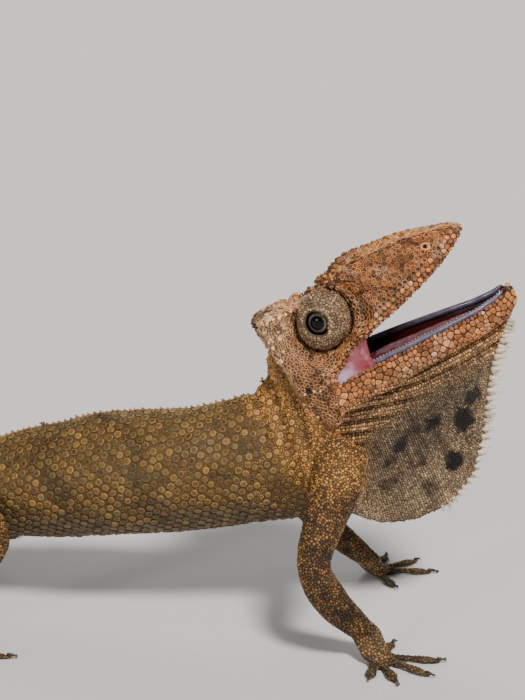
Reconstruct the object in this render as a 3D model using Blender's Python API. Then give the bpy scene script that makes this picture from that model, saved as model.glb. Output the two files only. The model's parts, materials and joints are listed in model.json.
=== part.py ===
# A life-size bearded anole that stands with its head raised and its mouth open.
# Sizes are millimetres in the animal's own frame: X forward, Y to its left, Z up from the floor.
# They become metres where a mesh is made.

import math
import random

import bmesh
import bpy
import numpy as np
from mathutils import Matrix, Vector

MM = 0.001
GAP = 0.3  # space that touching solids keep
RIGHT = -1
LEFT = 1
UP = Vector((0, 0, 1))

# Head: the frame lies at the corner of the mouth, along the upper lip.
MOUTH_CORNER = Vector((-7.2, 0, 60.9))
HEAD_PITCH = 50.2
GAPE = 26.1
SNOUT_TIP = 45.4
HEAD_REAR = -8.5

# Profiles of the head read along the upper lip, from the rear of the skull to the snout.
LIP_HEIGHT = [(-8.5, -6.0), (-5, -6.0), (-3, -4.7), (-1.0, -0.9), (2, 1.2), (5, 2.1), (9, 2.6), (14, 2.3),
              (20, 1.3), (28, 0.1), (37, -0.6), (43, -0.1), (45, 0.3)]
PALATE_RISE = [(-8.5, -0.9), (-3, -1.2), (1, 0.5), (5, 0.6), (14, 0.7), (21, 2.4), (33, 2.2), (41, 0.9), (45, 0.1)]
LIP_WIDTH = [(-8.5, 10.4), (-5, 12.3), (-1, 12.9), (5, 12.7), (12, 11.8), (22.5, 9.9), (33, 7.3),
             (40.5, 4.9), (43.6, 3.2), (45, 1.9)]
CHEEK_WIDTH = [(-8.5, 11.0), (-5, 12.3), (-1, 12.5), (5, 11.4), (12, 9.8), (19, 9.2), (25.5, 8.2),
               (33, 6.4), (40.5, 4.3), (43.6, 2.9), (45, 1.7)]
RIDGE_HEIGHT = [(-8.5, 15.6), (-7, 20.0), (-5, 22.8), (-2, 22.1), (1.5, 20.7), (8.5, 17.7), (12, 16.9),
                (15.5, 16.3), (18.5, 16.4), (21, 16.6), (25, 15.0), (29, 12.8), (33, 10.9), (37, 8.3),
                (40.5, 5.6), (43.6, 3.2), (45, 1.7)]
RIDGE_WIDTH = [(-8.5, 5.8), (-5, 3.3), (-1.5, 5.6), (4, 7.2), (12, 7.0), (22, 6.6), (29, 5.4),
               (37, 3.6), (43.6, 2.0), (45, 1.2)]
CROWN_HEIGHT = [(-8.5, 16.0), (-7, 20.6), (-5, 23.1), (-2, 22.2), (3, 19.6), (9, 15.9), (15.5, 13.4),
                (22.5, 12.2), (29, 11.2), (37, 7.7), (40.5, 5.3), (43.6, 3.1), (45, 1.7)]
SKULL_LEAN = [(-8.5, 4.6), (-5, 3.0), (-2, 1.8), (2, 0.8), (6, 0)]
HEAD_STATIONS = 25

# Eyes: domed lids that stand out of the side of the head.
EYE_PLACE = {RIGHT: (9.4, 11.0, 6.2), LEFT: (9.4, 10.7, 5.8)}
LID_RADIUS = 6.8
LID_RISE = 5.4
EYEBALL_RADIUS = 4.5
SOCKET_DEPTH = 5.8
LID_OPENING = 2.1
GAZE = {RIGHT: Vector((-0.36, -0.93, 0.015)), LEFT: Vector((0.16, 0.97, 0.06))}

NOSTRIL = (36.9, 4.7, 4.9)
NOSTRIL_RADIUS = 0.65
EAR = (-4.2, 4.6, 12.4)
EAR_SIZE = (0.9, 1.2, 1.7)

# Lower jaw, read along the jaw from the mouth's corner to the chin.
JAW_LENGTH = 45.6
JAW_WIDTH = [(-3, 12.4), (0, 12.3), (8, 11.7), (18, 10.1), (27, 8.2), (36, 5.9), (41, 4.1),
             (44, 2.6), (45.6, 1.5)]
JAW_LIP = [(-3, 0.0), (0, 0.6), (6, 1.4), (20, 1.5), (36, 1.5), (41, 2.1), (44, 3.2), (45.6, 2.9)]
JAW_KEEL = [(-3, -8.5), (0, -8.3), (12, -7.3), (24, -6.2), (36, -4.9), (42, -3.6), (45.6, -0.6)]
MOUTH_FLOOR = 2.7
JAW_STATIONS = 20

TONGUE = [(6, 2.4), (14, 4.4), (24, 4.4), (32, 3.2), (36, 1.9), (38, 0.9)]
TONGUE_TOP = 1.0

# Dewlap: the throat fan, from the chin back to the chest. Its upper edge is read along the jaw.
DEWLAP_TOP = [(43.4, 0.4), (41.5, -0.8), (38, -1.6), (33, -2.2), (27, -2.8), (20, -3.2), (13, -3.5),
              (6, -3.8), (0, -4.6), (-3, -6.2)]
DEWLAP_EDGE = [(33.6, 75.2), (32.2, 71.0), (30.2, 64.5), (29.0, 56.0), (28.2, 46.5), (26.4, 37.0),
               (21.0, 29.3), (13.0, 25.2), (4.5, 24.2), (-3.0, 26.5)]
DEWLAP_THROAT = [1.3, 2.0, 3.0, 4.2, 5.4, 6.8, 8.0, 9.0, 9.6, 9.4]
DEWLAP_THICKNESS = 0.95
DEWLAP_STATIONS = 26
BEARD_SPINES = 34
BEARD_LENGTH = 2.2

# Trunk: midline of the back and of the belly, side shift and half width, from the nape to the vent.
BACK_LINE = [(-21.93, 68.21), (-22.3, 62.6), (-24.2, 57.8), (-30.0, 54.6), (-40, 52.8), (-50, 51.6),
             (-62, 49.6), (-76, 46.0), (-90, 41.0), (-103, 35.6), (-113, 31.2), (-121, 27.6)]
BELLY_LINE = [(-8.03, 50.53), (-1.6, 42.0), (-1.0, 31.6), (-9.5, 27.0), (-23, 24.6), (-38, 22.4),
              (-54, 20.2), (-70, 18.5), (-87, 17.2), (-102, 16.6), (-114, 16.2), (-123.5, 15.4)]
TRUNK_SIDE = [0, 0, 0, 0.3, 1.2, 2.8, 5.0, 7.8, 10.9, 13.6, 15.8, 17.6]
TRUNK_WIDTH = [11.0, 10.8, 11.4, 12.0, 12.8, 13.6, 14.0, 13.6, 12.2, 10.2, 8.4, 7.0]
NAPE_END = 2.7
TRUNK_END = 10.0

# Tail: centre line on the floor and half height.
TAIL_LINE = [(-134, 19.2, 15.2), (-146, 20.4, 8.9), (-159, 20.2, 5.2), (-176, 18.6, 4.4), (-194, 14.2, 3.6),
             (-211, 6.6, 2.8), (-224, -4.6, 2.1), (-231, -18, 1.45), (-231.5, -31, 0.85)]
TAIL_RADIUS = [6.5, 6.0, 5.5, 4.75, 3.95, 3.15, 2.4, 1.7, 0.95]
TAIL_CUTS = [TRUNK_END, 13.9, 16.4, 20.0]
CREST_SPACING = 2.6
CREST_HEIGHT = 1.5

# Limbs: joints in order, with the radius in the plane of the bend and across it.
ARM_JOINTS = {
    RIGHT: [(-5.5, -6.0, 44.5), (-7.0, -15.0, 38.4), (-12.2, -24.2, 24.6), (-8.6, -24.6, 15.5),
            (-1.6, -22.6, 7.4)],
    LEFT: [(-5.5, 6.0, 44.5), (-8.2, 15.0, 38.0), (-14.2, 24.2, 24.0), (-9.2, 25.0, 15.4),
           (0.6, 23.0, 7.4)],
}
ARM_RADII = [(7.0, 6.4), (6.1, 5.2), (4.1, 3.8), (4.3, 3.7), (3.1, 2.8)]
LEG_JOINTS = {
    RIGHT: [(-106.0, 9.0, 27.0), (-97.0, -2.6, 29.0), (-86.4, -13.6, 25.2), (-94.0, -17.0, 17.0),
            (-106.0, -19.4, 7.4)],
    LEFT: [(-107.0, 21.0, 27.0), (-101.0, 32.0, 28.4), (-93.0, 42.4, 23.6), (-101.0, 44.6, 15.8),
           (-114.0, 46.0, 7.2)],
}
LEG_RADII = [(8.6, 7.4), (7.4, 6.2), (4.9, 4.5), (4.8, 4.1), (3.0, 2.7)]
WRIST_T = 4.0
JOINT_T = 2.05
PALM = {
    "hand": [(2.9, 3.1), (3.5, 2.3), (3.9, 1.7), (2.6, 1.2)],
    "foot": [(2.8, 3.0), (3.4, 2.4), (3.9, 1.8), (2.8, 1.2)],
}
PALM_REACH = {"hand": 6.6, "foot": 10.5}
HEADING = {"hand": -50, "foot": -24}
DIGIT_ANGLES = {"hand": [52, 22, -14, -46, -112], "foot": [58, 30, 4, -20, -80]}
DIGIT_LENGTHS = {"hand": [7.5, 9.5, 11.5, 12.0, 8.5], "foot": [7.0, 10.0, 14.0, 18.0, 10.5]}
DIGIT_WIDTHS = [1.1, 0.9, 1.6, 1.4, 0.55]
DIGIT_HEIGHTS = [1.05, 0.85, 0.75, 0.7, 0.5]
DIGIT_PLACES = [0.0, 0.45, 0.68, 0.85, 1.0]
CLAW_LENGTH = 2.2

SHARP_ANGLE = 38  # edges that bend by more stay sharp

COLOURS = {
    "head": (0.36, 0.20, 0.09), "flesh": (0.25, 0.16, 0.07), "limb": (0.22, 0.12, 0.05),
    "dewlap": (0.30, 0.23, 0.15), "mouth": (0.55, 0.16, 0.15), "eye": (0.02, 0.02, 0.025),
    "lid": (0.30, 0.21, 0.13),
}
ROUGHNESS = {"eye": 0.08, "mouth": 0.3}

chance = random.Random(7)
head_turn = Matrix.Rotation(math.radians(-HEAD_PITCH), 3, "Y")
jaw_turn = Matrix.Rotation(math.radians(-(HEAD_PITCH - GAPE)), 3, "Y")


# Smooth curves

def at(keys, place):
    """Reads a profile of (place, size) pairs with a smooth curve that never overshoots."""
    if place <= keys[0][0]:
        return keys[0][1]
    if place >= keys[-1][0]:
        return keys[-1][1]
    spans = [(b[0] - a[0], (b[1] - a[1]) / (b[0] - a[0])) for a, b in zip(keys, keys[1:])]
    slopes = [spans[0][1]]
    for (_, before), (_, after) in zip(spans, spans[1:]):
        slopes.append(0 if before * after <= 0 else 2 * before * after / (before + after))
    slopes.append(spans[-1][1])
    i = max(n for n, key in enumerate(keys[:-1]) if key[0] <= place)
    width, _ = spans[i]
    f = (place - keys[i][0]) / width
    return (
        keys[i][1] * (1 + 2 * f) * (1 - f) ** 2
        + keys[i + 1][1] * (3 - 2 * f) * f * f
        + width * f * (1 - f) * (slopes[i] * (1 - f) - slopes[i + 1] * f)
    )


def through(stations, t):
    """The smooth curve through a list of stations, read at t, which counts them."""
    last = len(stations) - 1
    i = max(0, min(int(t), last - 1))
    f = t - i
    a, b, c, d = (np.array(stations[max(0, min(n, last))], float) for n in (i - 1, i, i + 1, i + 2))
    return b + 0.5 * f * (c - a + f * (2 * a - 5 * b + 4 * c - d + f * (3 * (b - c) + d - a)))


def blend(a, b, f):
    return a + (b - a) * f


# Meshes

def paint(obj, kind):
    material = bpy.data.materials.get(kind) or bpy.data.materials.new(kind)
    material.use_nodes = True
    shader = material.node_tree.nodes["Principled BSDF"]
    shader.inputs["Base Color"].default_value = (*COLOURS[kind], 1)
    shader.inputs["Roughness"].default_value = ROUGHNESS.get(kind, 0.75)
    shader.inputs["Metallic"].default_value = 0
    obj.data.materials.clear()
    obj.data.materials.append(material)


def object_of(bm, name):
    bmesh.ops.triangulate(bm, faces=bm.faces[:])
    bmesh.ops.recalc_face_normals(bm, faces=bm.faces[:])
    if bm.calc_volume(signed=True) < 0:
        bmesh.ops.reverse_faces(bm, faces=bm.faces[:])
    mesh = bpy.data.meshes.new(name)
    bm.to_mesh(mesh)
    bm.free()
    obj = bpy.data.objects.new(name, mesh)
    bpy.context.scene.collection.objects.link(obj)
    return obj


def loft(name, rings):
    """A closed skin over rings of millimetre points. A ring of one point closes an end; others get a flat cap."""
    bm = bmesh.new()
    rows = [[bm.verts.new(Vector(p) * MM) for p in ring] for ring in rings]
    for row, after in zip(rows, rows[1:]):
        count = max(len(row), len(after))
        for i in range(count):
            j = (i + 1) % count
            corners = [row[i % len(row)], row[j % len(row)], after[j % len(after)], after[i % len(after)]]
            bm.faces.new(list(dict.fromkeys(corners)))
    for row in (rows[0], rows[-1]):
        if len(row) > 1:
            bm.faces.new(row)
    return object_of(bm, name)


def ball(name, centre, radii, segments=14, rings=9, facing=UP):
    """An ellipsoid whose third radius points along facing."""
    bm = bmesh.new()
    bmesh.ops.create_uvsphere(bm, u_segments=segments, v_segments=rings, radius=1)
    bmesh.ops.transform(bm, matrix=Matrix.Diagonal((*radii, 1)), verts=bm.verts)
    obj = object_of(bm, name)
    turn = facing.to_track_quat("Z", "Y").to_matrix().to_4x4()
    obj.data.transform(Matrix.Translation(Vector(centre) * MM) @ Matrix.Diagonal((MM, MM, MM, 1)) @ turn)
    return obj


def rod(name, start, end, radius, radius_end, sides):
    """A straight cone or cylinder between two points."""
    start, end = Vector(start), Vector(end)
    bm = bmesh.new()
    bmesh.ops.create_cone(bm, cap_ends=True, segments=sides, radius1=radius, radius2=radius_end,
                          depth=(end - start).length)
    obj = object_of(bm, name)
    turn = (end - start).to_track_quat("Z", "Y").to_matrix().to_4x4()
    obj.data.transform(Matrix.Diagonal((MM, MM, MM, 1)) @ Matrix.Translation((start + end) / 2) @ turn)
    return obj


def grown(obj, by=GAP):
    """A copy with every face moved out, to cut a neighbour with a gap."""
    bm = bmesh.new()
    bm.from_mesh(obj.data)
    bm.normal_update()
    for vert in bm.verts:
        flat = [face.normal.dot(vert.normal) for face in vert.link_faces]
        vert.co += vert.normal * by * MM / max(0.6, min(flat, default=1))
    return object_of(bm, obj.name + "_grown")


def apply_modifiers(obj):
    mesh = bpy.data.meshes.new_from_object(obj.evaluated_get(bpy.context.evaluated_depsgraph_get()))
    old = obj.data
    obj.modifiers.clear()
    obj.data = mesh
    bpy.data.meshes.remove(old)


def keep_largest(obj):
    """Welds a Boolean's slivers where that leaves the surface closed, and drops loose scraps and sealed hollows."""
    bm = bmesh.new()
    bm.from_mesh(obj.data)
    bmesh.ops.triangulate(bm, faces=bm.faces[:])
    welded = bm.copy()
    bmesh.ops.remove_doubles(welded, verts=welded.verts, dist=3e-6)
    if all(len(edge.link_faces) == 2 for edge in welded.edges):
        bm.free()
        bm = welded
    left = set(bm.verts)
    islands = []
    while left:
        island = set()
        stack = [left.pop()]
        while stack:
            vert = stack.pop()
            island.add(vert)
            for edge in vert.link_edges:
                other = edge.other_vert(vert)
                if other in left:
                    left.discard(other)
                    stack.append(other)
        islands.append(island)
    largest = max(islands, key=len)
    bmesh.ops.delete(bm, geom=[v for v in bm.verts if v not in largest], context="VERTS")
    bm.to_mesh(obj.data)
    bm.free()


def cut(obj, cutters):
    """Takes the cutters out of obj and removes them."""
    for cutter in cutters:
        modifier = obj.modifiers.new("cut", "BOOLEAN")
        modifier.operation = "DIFFERENCE"
        modifier.solver = "MANIFOLD"
        modifier.object = cutter
        apply_modifiers(obj)
        bpy.data.objects.remove(cutter)
        keep_largest(obj)
    return obj


def join(obj, pieces):
    """Fuses closed pieces into obj with one Boolean on their collection."""
    if not pieces:
        return obj
    group = bpy.data.collections.new("pieces")
    for piece in pieces:
        group.objects.link(piece)
    modifier = obj.modifiers.new("join", "BOOLEAN")
    modifier.operation = "UNION"
    modifier.solver = "MANIFOLD"
    modifier.operand_type = "COLLECTION"
    modifier.collection = group
    apply_modifiers(obj)
    for piece in pieces:
        bpy.data.objects.remove(piece)
    bpy.data.collections.remove(group)
    keep_largest(obj)
    return obj


# Head

def head_point(along, height, across):
    return MOUTH_CORNER + head_turn @ Vector((along, across, height))


def jaw_point(along, height, across=0):
    return MOUTH_CORNER + jaw_turn @ Vector((along, across, height))


def mirrored(half, grow=0.0):
    """A whole ring from its left half, whose first and last points lie on the midline, moved out by grow."""
    ring = half + [(-w, v) for w, v in half[-2:0:-1]]
    if not grow:
        return ring
    moved = []
    narrow = max(w for w, _ in ring) < 4.5
    middle = sum(v for _, v in ring) / len(ring)
    hand = 1 if half[-1][1] > half[0][1] else -1
    for n, (w, v) in enumerate(ring):
        (w0, v0), (w1, v1) = ring[n - 1], ring[(n + 1) % len(ring)]
        way = Vector((w, v - middle)) if narrow else Vector((v1 - v0, w0 - w1)) * hand
        moved.append(tuple(Vector((w, v)) + way.normalized() * grow))
    return moved


def head_half(u):
    """Half outline of the skull at u, from the palate's midline out round the cheek to the crown."""
    lip, width, cheek = at(LIP_HEIGHT, u), at(LIP_WIDTH, u), at(CHEEK_WIDTH, u)
    ridge, ridge_width, crown = at(RIDGE_HEIGHT, u), at(RIDGE_WIDTH, u), at(CROWN_HEIGHT, u)
    rise = at(PALATE_RISE, u)
    tall = ridge - lip
    small = min(1, tall / 8)
    return [
        (0, lip + rise),
        (max(0.3, width - 2.2) * 0.6, lip + rise * 0.9),
        (max(0.6, width - 2.0 * small), lip + rise * 0.35),
        (width - 0.8 * small, lip),
        (width, lip + 0.7 * small),
        (width - 0.35 * small, lip + 1.9 * small),
        (blend(width, cheek, 0.6), lip + 0.33 * tall),
        (cheek, lip + 0.52 * tall),
        (blend(cheek, ridge_width, 0.45), lip + 0.76 * tall),
        (ridge_width + 0.45 * small, ridge - 1.1 * small),
        (ridge_width - 0.4 * small, ridge),
        (ridge_width * 0.6, blend(crown, ridge, 0.42)),
        (0, crown),
    ]


def skull(grow=0.0):
    rings = []
    for n in range(HEAD_STATIONS):
        f = n / (HEAD_STATIONS - 1)
        u = blend(HEAD_REAR, SNOUT_TIP - 0.4, 1 - (1 - f) ** 1.25)
        lip, ridge, lean = at(LIP_HEIGHT, u), at(RIDGE_HEIGHT, u), at(SKULL_LEAN, u)
        back = grow if n == 0 else 0
        rings.append([
            head_point(u - back + lean * (v - lip) / (ridge - lip), v, w) for w, v in mirrored(head_half(u), grow)
        ])
    rings.append([head_point(SNOUT_TIP + grow, 0.9, 0)])
    return loft("head", rings)


def eye_centre(side):
    along, height, across = EYE_PLACE[side]
    return head_point(along, height, across * side)


def outward(side):
    """The way the eye's dome faces: straight out of the head, a little forward."""
    return (head_turn @ Vector((0.08, side, 0.06))).normalized()


def dome(name, side, radius, rise, floor):
    """An ellipsoid at the eye, cut flat on its inner side."""
    way = outward(side)
    obj = ball(name, eye_centre(side), (radius, radius, rise), 20, 12, way)
    middle = head_point(*EYE_PLACE[side][:2], 0)
    inner = rod("socket_floor", middle - way * 20, middle + way * floor, 12, 12, 16)
    return cut(obj, [inner])


def eyes(side, tag):
    centre = eye_centre(side)
    hollow = ball("hollow", centre, (EYEBALL_RADIUS + GAP,) * 3, 20, 12, outward(side))
    end = centre + GAZE[side].normalized() * 12
    opening = rod("opening", centre, end, LID_OPENING * 0.76, LID_OPENING * 1.42, 12)
    lid = cut(dome("eyelid_" + tag, side, LID_RADIUS, LID_RISE, SOCKET_DEPTH), [hollow, opening])
    eye = dome("eye_" + tag, side, EYEBALL_RADIUS, EYEBALL_RADIUS, SOCKET_DEPTH)
    paint(lid, "lid")
    paint(eye, "eye")


def head():
    obj = skull()
    pits = []
    for side in (RIGHT, LEFT):
        pits.append(dome("socket", side, LID_RADIUS + GAP, LID_RISE + GAP, SOCKET_DEPTH - GAP))
        along, height, across = NOSTRIL
        pits.append(ball("nostril", head_point(along, height, across * side), (NOSTRIL_RADIUS,) * 3, 8, 5))
        along, height, across = EAR
        pits.append(ball("ear", head_point(along, height, across * side), EAR_SIZE, 8, 6))
    cut(obj, pits)
    paint(obj, "head")


# Lower jaw and mouth

def jaw_half(p):
    """Half outline of the lower jaw at p, from the middle of the mouth's floor out over the lip to the keel."""
    width, lip, keel = at(JAW_WIDTH, p), at(JAW_LIP, p), at(JAW_KEEL, p)
    small = min(1, width / 6) ** 1.5
    deep = lip - keel
    return [
        (0, lip - MOUTH_FLOOR * small),
        (max(0.3, width - 2.6 * small) * 0.6, lip - MOUTH_FLOOR * small),
        (max(0.5, width - 2.1 * small), lip - 1.7 * small),
        (width - 1.1 * small, lip),
        (width - 0.1 * small, lip - 0.35 * small),
        (width - 0.3 * small, lip - 1.7 * small),
        (width, lip - 2.9 * small),
        (width - 0.5 * small, lip - 0.56 * deep),
        (width - 1.7 * small, lip - 0.78 * deep),
        (width * 0.45, keel + 0.06 * deep),
        (0, keel),
    ]


def jaw_shape(grow=0.0):
    rings = []
    for n in range(JAW_STATIONS):
        p = blend(-3, JAW_LENGTH - 0.3, 1 - (1 - n / (JAW_STATIONS - 1)) ** 1.35)
        rings.append([jaw_point(p - (0 if n else grow), v, w) for w, v in mirrored(jaw_half(p), grow)])
    rings.append([jaw_point(JAW_LENGTH + 0.3 + grow, 1.4)])
    return loft("jaw", rings)


def jaw():
    paint(cut(jaw_shape(), [skull(0.4)]), "head")


def tongue():
    rings = [[jaw_point(4.5, at(JAW_LIP, 5) - 2.4)]]
    for p, half in TONGUE:
        floor = at(JAW_LIP, p) - MOUTH_FLOOR
        ring = []
        for n in range(12):
            turn = 2 * math.pi * n / 12
            lift = TONGUE_TOP + 0.6 if math.cos(turn) > 0 else 1.2
            groove = 0.35 if n == 0 else 0
            ring.append(jaw_point(p, floor + 0.7 + lift * math.cos(turn) - groove, half * math.sin(turn)))
        rings.append(ring)
    rings.append([jaw_point(38.8, at(JAW_LIP, 38) - 2.0)])
    obj = cut(loft("tongue", rings), [jaw_shape(0.35)])
    paint(obj, "mouth")
    return obj


def mouth_lining(tongue_cut):
    """The flesh that closes the back of the open mouth, with its edge bowed in."""
    wedge = [(-4, -3.4), (-3.6, 2.6), (2, 5.6), (9, 6.2), (5.6, 3.2), (4.6, 0.6), (5.4, -1.6), (9.5, -5.6), (3, -7)]
    rings = []
    for across, share in ((-10.9, 0.7), (-9.6, 0.92), (-5, 0.8), (0, 0.72), (5, 0.8), (9.6, 0.92), (10.9, 0.7)):
        rings.append([head_point(-3 + (u + 3) * share, v, across) for u, v in wedge])
    obj = cut(loft("mouth_lining", rings), [skull(0.4), jaw_shape(0.4), tongue_cut])
    paint(obj, "mouth")


# Dewlap

def dewlap_ring(s, grow):
    """Outline of the dewlap at s, from the throat down to its free edge and back up the other side."""
    p, q = through(DEWLAP_TOP, s)
    x, z = through(DEWLAP_EDGE, s)
    top, low = jaw_point(p, q), Vector((x, 0, z))
    throat = through([(w,) for w in DEWLAP_THROAT], s)[0]
    out = (low - top).normalized()
    left = []
    for f in (0.0, 0.1, 0.22, 0.36, 0.52, 0.7):
        half = DEWLAP_THICKNESS + (throat - DEWLAP_THICKNESS) * (1 - f) ** 2.2 + grow
        bow = 0.9 * math.sin(math.pi * f) * math.sin(1.1 * s)
        left.append((top + (low - top) * f, half, bow))
    left.append((low - out * min(0.5, 0.1 * (low - top).length), DEWLAP_THICKNESS * 0.95 + grow, 0))
    ring = [point + Vector((0, half + bow, 0)) for point, half, bow in left]
    ring.append(low + out * (0.25 + grow))
    ring += [point + Vector((0, bow - half, 0)) for point, half, bow in reversed(left)]
    return ring


def beard():
    """Soft pointed scales along the front of the dewlap, in two rows that take turns."""
    found = []
    last = 6.0
    for n in range(BEARD_SPINES):
        f = n / (BEARD_SPINES - 1)
        s = 0.35 + (last - 0.35) * f
        here, ahead = through(DEWLAP_EDGE, s), through(DEWLAP_EDGE, s + 0.05)
        along = Vector((ahead[0] - here[0], 0, ahead[1] - here[1])).normalized()
        out = Vector((-along.z, 0, along.x))
        side = RIGHT if n % 2 else LEFT
        lean = 0.35 * (1 - f)
        way = (out + UP * lean + Vector((0, 0.34 * side * chance.uniform(0.5, 1.3), 0))).normalized()
        length = BEARD_LENGTH * (1 - 0.62 * f) * chance.uniform(0.75, 1.15) * min(1, 0.55 + 3 * f)
        foot = Vector((here[0], 0.4 * side, here[1]))
        found.append(rod("spine", foot - way * 0.8, foot + way * length, 0.55, 0.1, 5))
    return found


def dewlap_shape(grow=0.0):
    last = len(DEWLAP_TOP) - 1
    return loft("dewlap", [
        dewlap_ring(last * n / (DEWLAP_STATIONS - 1), grow) for n in range(DEWLAP_STATIONS)
    ])


def dewlap(trunk):
    obj = cut(dewlap_shape(), [jaw_shape(0.4), skull(0.4), trunk])
    obj = join(obj, beard())
    paint(obj, "dewlap")


# Trunk and tail

def body_stations():
    """Rows of back point, belly point and half width, from the nape to the tip of the tail."""
    rows = []
    for (bx, bz), (dx, dz), side, width in zip(BACK_LINE, BELLY_LINE, TRUNK_SIDE, TRUNK_WIDTH):
        rows.append((bx, side, bz, dx, side, dz, width))
    for n, (centre, radius) in enumerate(zip(TAIL_LINE, TAIL_RADIUS)):
        before = Vector(TAIL_LINE[n - 1]) if n else Vector((BACK_LINE[-1][0], TRUNK_SIDE[-1], 21.5))
        after = Vector(TAIL_LINE[min(n + 1, len(TAIL_LINE) - 1)])
        way = (after - before).normalized()
        lift = (UP - way * way.z).normalized() * radius
        centre = Vector(centre)
        rows.append((*(centre + lift), *(centre - lift), radius * 0.9))
    return rows


STATIONS = body_stations()


def body_frame(t):
    row = through(STATIONS, t)
    back, belly = Vector(row[:3]), Vector(row[3:6])
    step = through(STATIONS, t + 0.02) - through(STATIONS, t - 0.02)
    across = Vector((step[1], -step[0], 0)).normalized()
    return back, belly, across, row[6]


def body_ring(t, sides, shift=0.0, grow=0.0):
    """One ring of the trunk or tail. It leans as the back and belly do, and lies flat where it meets the floor."""
    back, belly, across, half = body_frame(t)
    middle, reach = (back + belly) / 2, (back - belly) / 2
    normal = across.cross(reach).normalized()
    tall = reach.length + grow
    up = reach.normalized()
    ring = []
    for n in range(sides):
        turn = 2 * math.pi * n / sides
        high, wide = math.cos(turn), math.sin(turn)
        pinch = 1 - 0.34 * max(0, high) ** 2 - 0.10 * max(0, -high) ** 2
        point = middle + up * tall * high + across * (half + grow) * wide * pinch + normal * shift
        ring.append(Vector((point.x, point.y, max(point.z, -grow))))
    return ring


def body_length(name, start, end, count, sides, kind, tip=False):
    """One stretch of the trunk or tail, a half gap short of each end."""
    rings = []
    for n in range(count):
        t = blend(start, end, n / (count - 1))
        shift = -GAP / 2 if n == 0 else (GAP / 2 if n == count - 1 and not tip else 0)
        if t == 0:
            shift = -GAP
        rings.append(body_ring(t, sides, shift))
    if tip:
        end_middle = (rings[-1][0] + rings[-1][sides // 2]) / 2
        way = (end_middle - (rings[-2][0] + rings[-2][sides // 2]) / 2).normalized()
        rings.append([end_middle + way * 1.2])
    obj = join(loft(name, rings), crest(start, end))
    if start == 0:
        cut(obj, [skull(0.4)])
    paint(obj, kind)


def crest(start, end):
    """Low pointed scales along the midline of the back, smaller towards the tail."""
    found = []
    t = start + 0.22
    while t < min(end - 0.12, 14.5):
        back, belly, across, half = body_frame(t)
        ahead = body_frame(t + 0.05)[0]
        way = (ahead - back).normalized()
        up = (back - belly).normalized()
        height = CREST_HEIGHT * blend(1.0, 0.5, t / 14.5) * chance.uniform(0.8, 1.15)
        foot = back - up * 0.9
        found.append(rod("crest", foot, back + up * height + way * 0.7, 1.0, 0.12, 4))
        t += CREST_SPACING / max(2.0, ((ahead - back) / 0.05).length)
    return found


def trunk_cutter():
    """The trunk with a gap round it. Its rings lie where the neck's and the torso's do."""
    places = [NAPE_END * n / 8 for n in range(8)]
    places += [blend(NAPE_END, TRUNK_END, n / 16) for n in range(17)] + [11, 12]
    rings = [body_ring(t, 22, 0 if n else GAP, GAP + 0.2) for n, t in enumerate(places)]
    return loft("trunk_cut", rings)


# Limbs

def limb_rings(joints, radii, start, end, count, sides=12):
    """Rings along a bent limb. Both ends are square to it, and the bend stays in one plane."""
    path = [Vector(j) for j in joints]
    across = (path[2] - path[0]).cross(path[-1] - path[2]).normalized()
    rings = []
    for n in range(count):
        t = blend(start, end, n / (count - 1))
        middle = Vector(through(joints, t))
        way = (Vector(through(joints, t + 0.03)) - Vector(through(joints, t - 0.03))).normalized()
        square = across.cross(way).normalized()
        wide, deep = through(radii, t)
        ends = {0: GAP / 2, count - 1: -GAP / 2}
        middle = middle + way * ends.get(n, 0)
        rings.append([
            middle + square * wide * math.cos(a) + across * deep * math.sin(a)
            for a in (2 * math.pi * k / sides for k in range(sides))
        ])
    return rings


def upper_limb(name, joints, radii, cutters):
    """Upper arm or thigh. Its root is cut to the body's side."""
    obj = loft(name, limb_rings(joints, radii, 0.0, JOINT_T, 9))
    cut(obj, cutters)
    paint(obj, "limb")
    return obj


def lower_limb(name, joints, radii, upper):
    """Forearm or shank. Where the knee bends hard, it gives way to the upper limb."""
    obj = loft(name, limb_rings(joints, radii, JOINT_T, WRIST_T, 9))
    cut(obj, [grown(upper, 0.35)])
    paint(obj, "limb")


def floor_point(point):
    return Vector((point.x, point.y, max(point.z, 0)))


def digit(start, heading, length):
    """A toe that lies on the floor, with the wide pad of its kind and a narrow last joint."""
    way = Vector((math.cos(heading), math.sin(heading), 0))
    across = Vector((-way.y, way.x, 0))
    rings = [[start - way * 1.5 + UP * 1.3]]
    for place, width, height in zip(DIGIT_PLACES, DIGIT_WIDTHS, DIGIT_HEIGHTS):
        middle = start + way * (length * place) + UP * (height * 0.8 + 0.35 * math.sin(math.pi * (1 - place) * 0.9))
        rings.append([
            floor_point(middle + across * width * math.cos(a) + UP * height * math.sin(a))
            for a in (2 * math.pi * (k + 0.5) / 7 for k in range(7))
        ])
    end = start + way * (length + 0.3) + UP * 0.5
    rings.append([end])
    return loft("digit", rings)


def claw(start, heading, length):
    way = Vector((math.cos(heading), math.sin(heading), 0))
    foot = start + way * (length - 0.9) + UP * 0.85
    knee = start + way * (length + CLAW_LENGTH * 0.45) + UP * 1.0
    tip = start + way * (length + CLAW_LENGTH) + UP * 0.25
    rings = []
    for middle, radius in ((foot, 0.42), (knee, 0.34)):
        side = way.cross(UP)
        rings.append([middle + (side * math.cos(a) + UP * math.sin(a)) * radius
                      for a in (2 * math.pi * k / 5 for k in range(5))])
    rings.append([tip])
    return loft("claw", rings)


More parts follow.
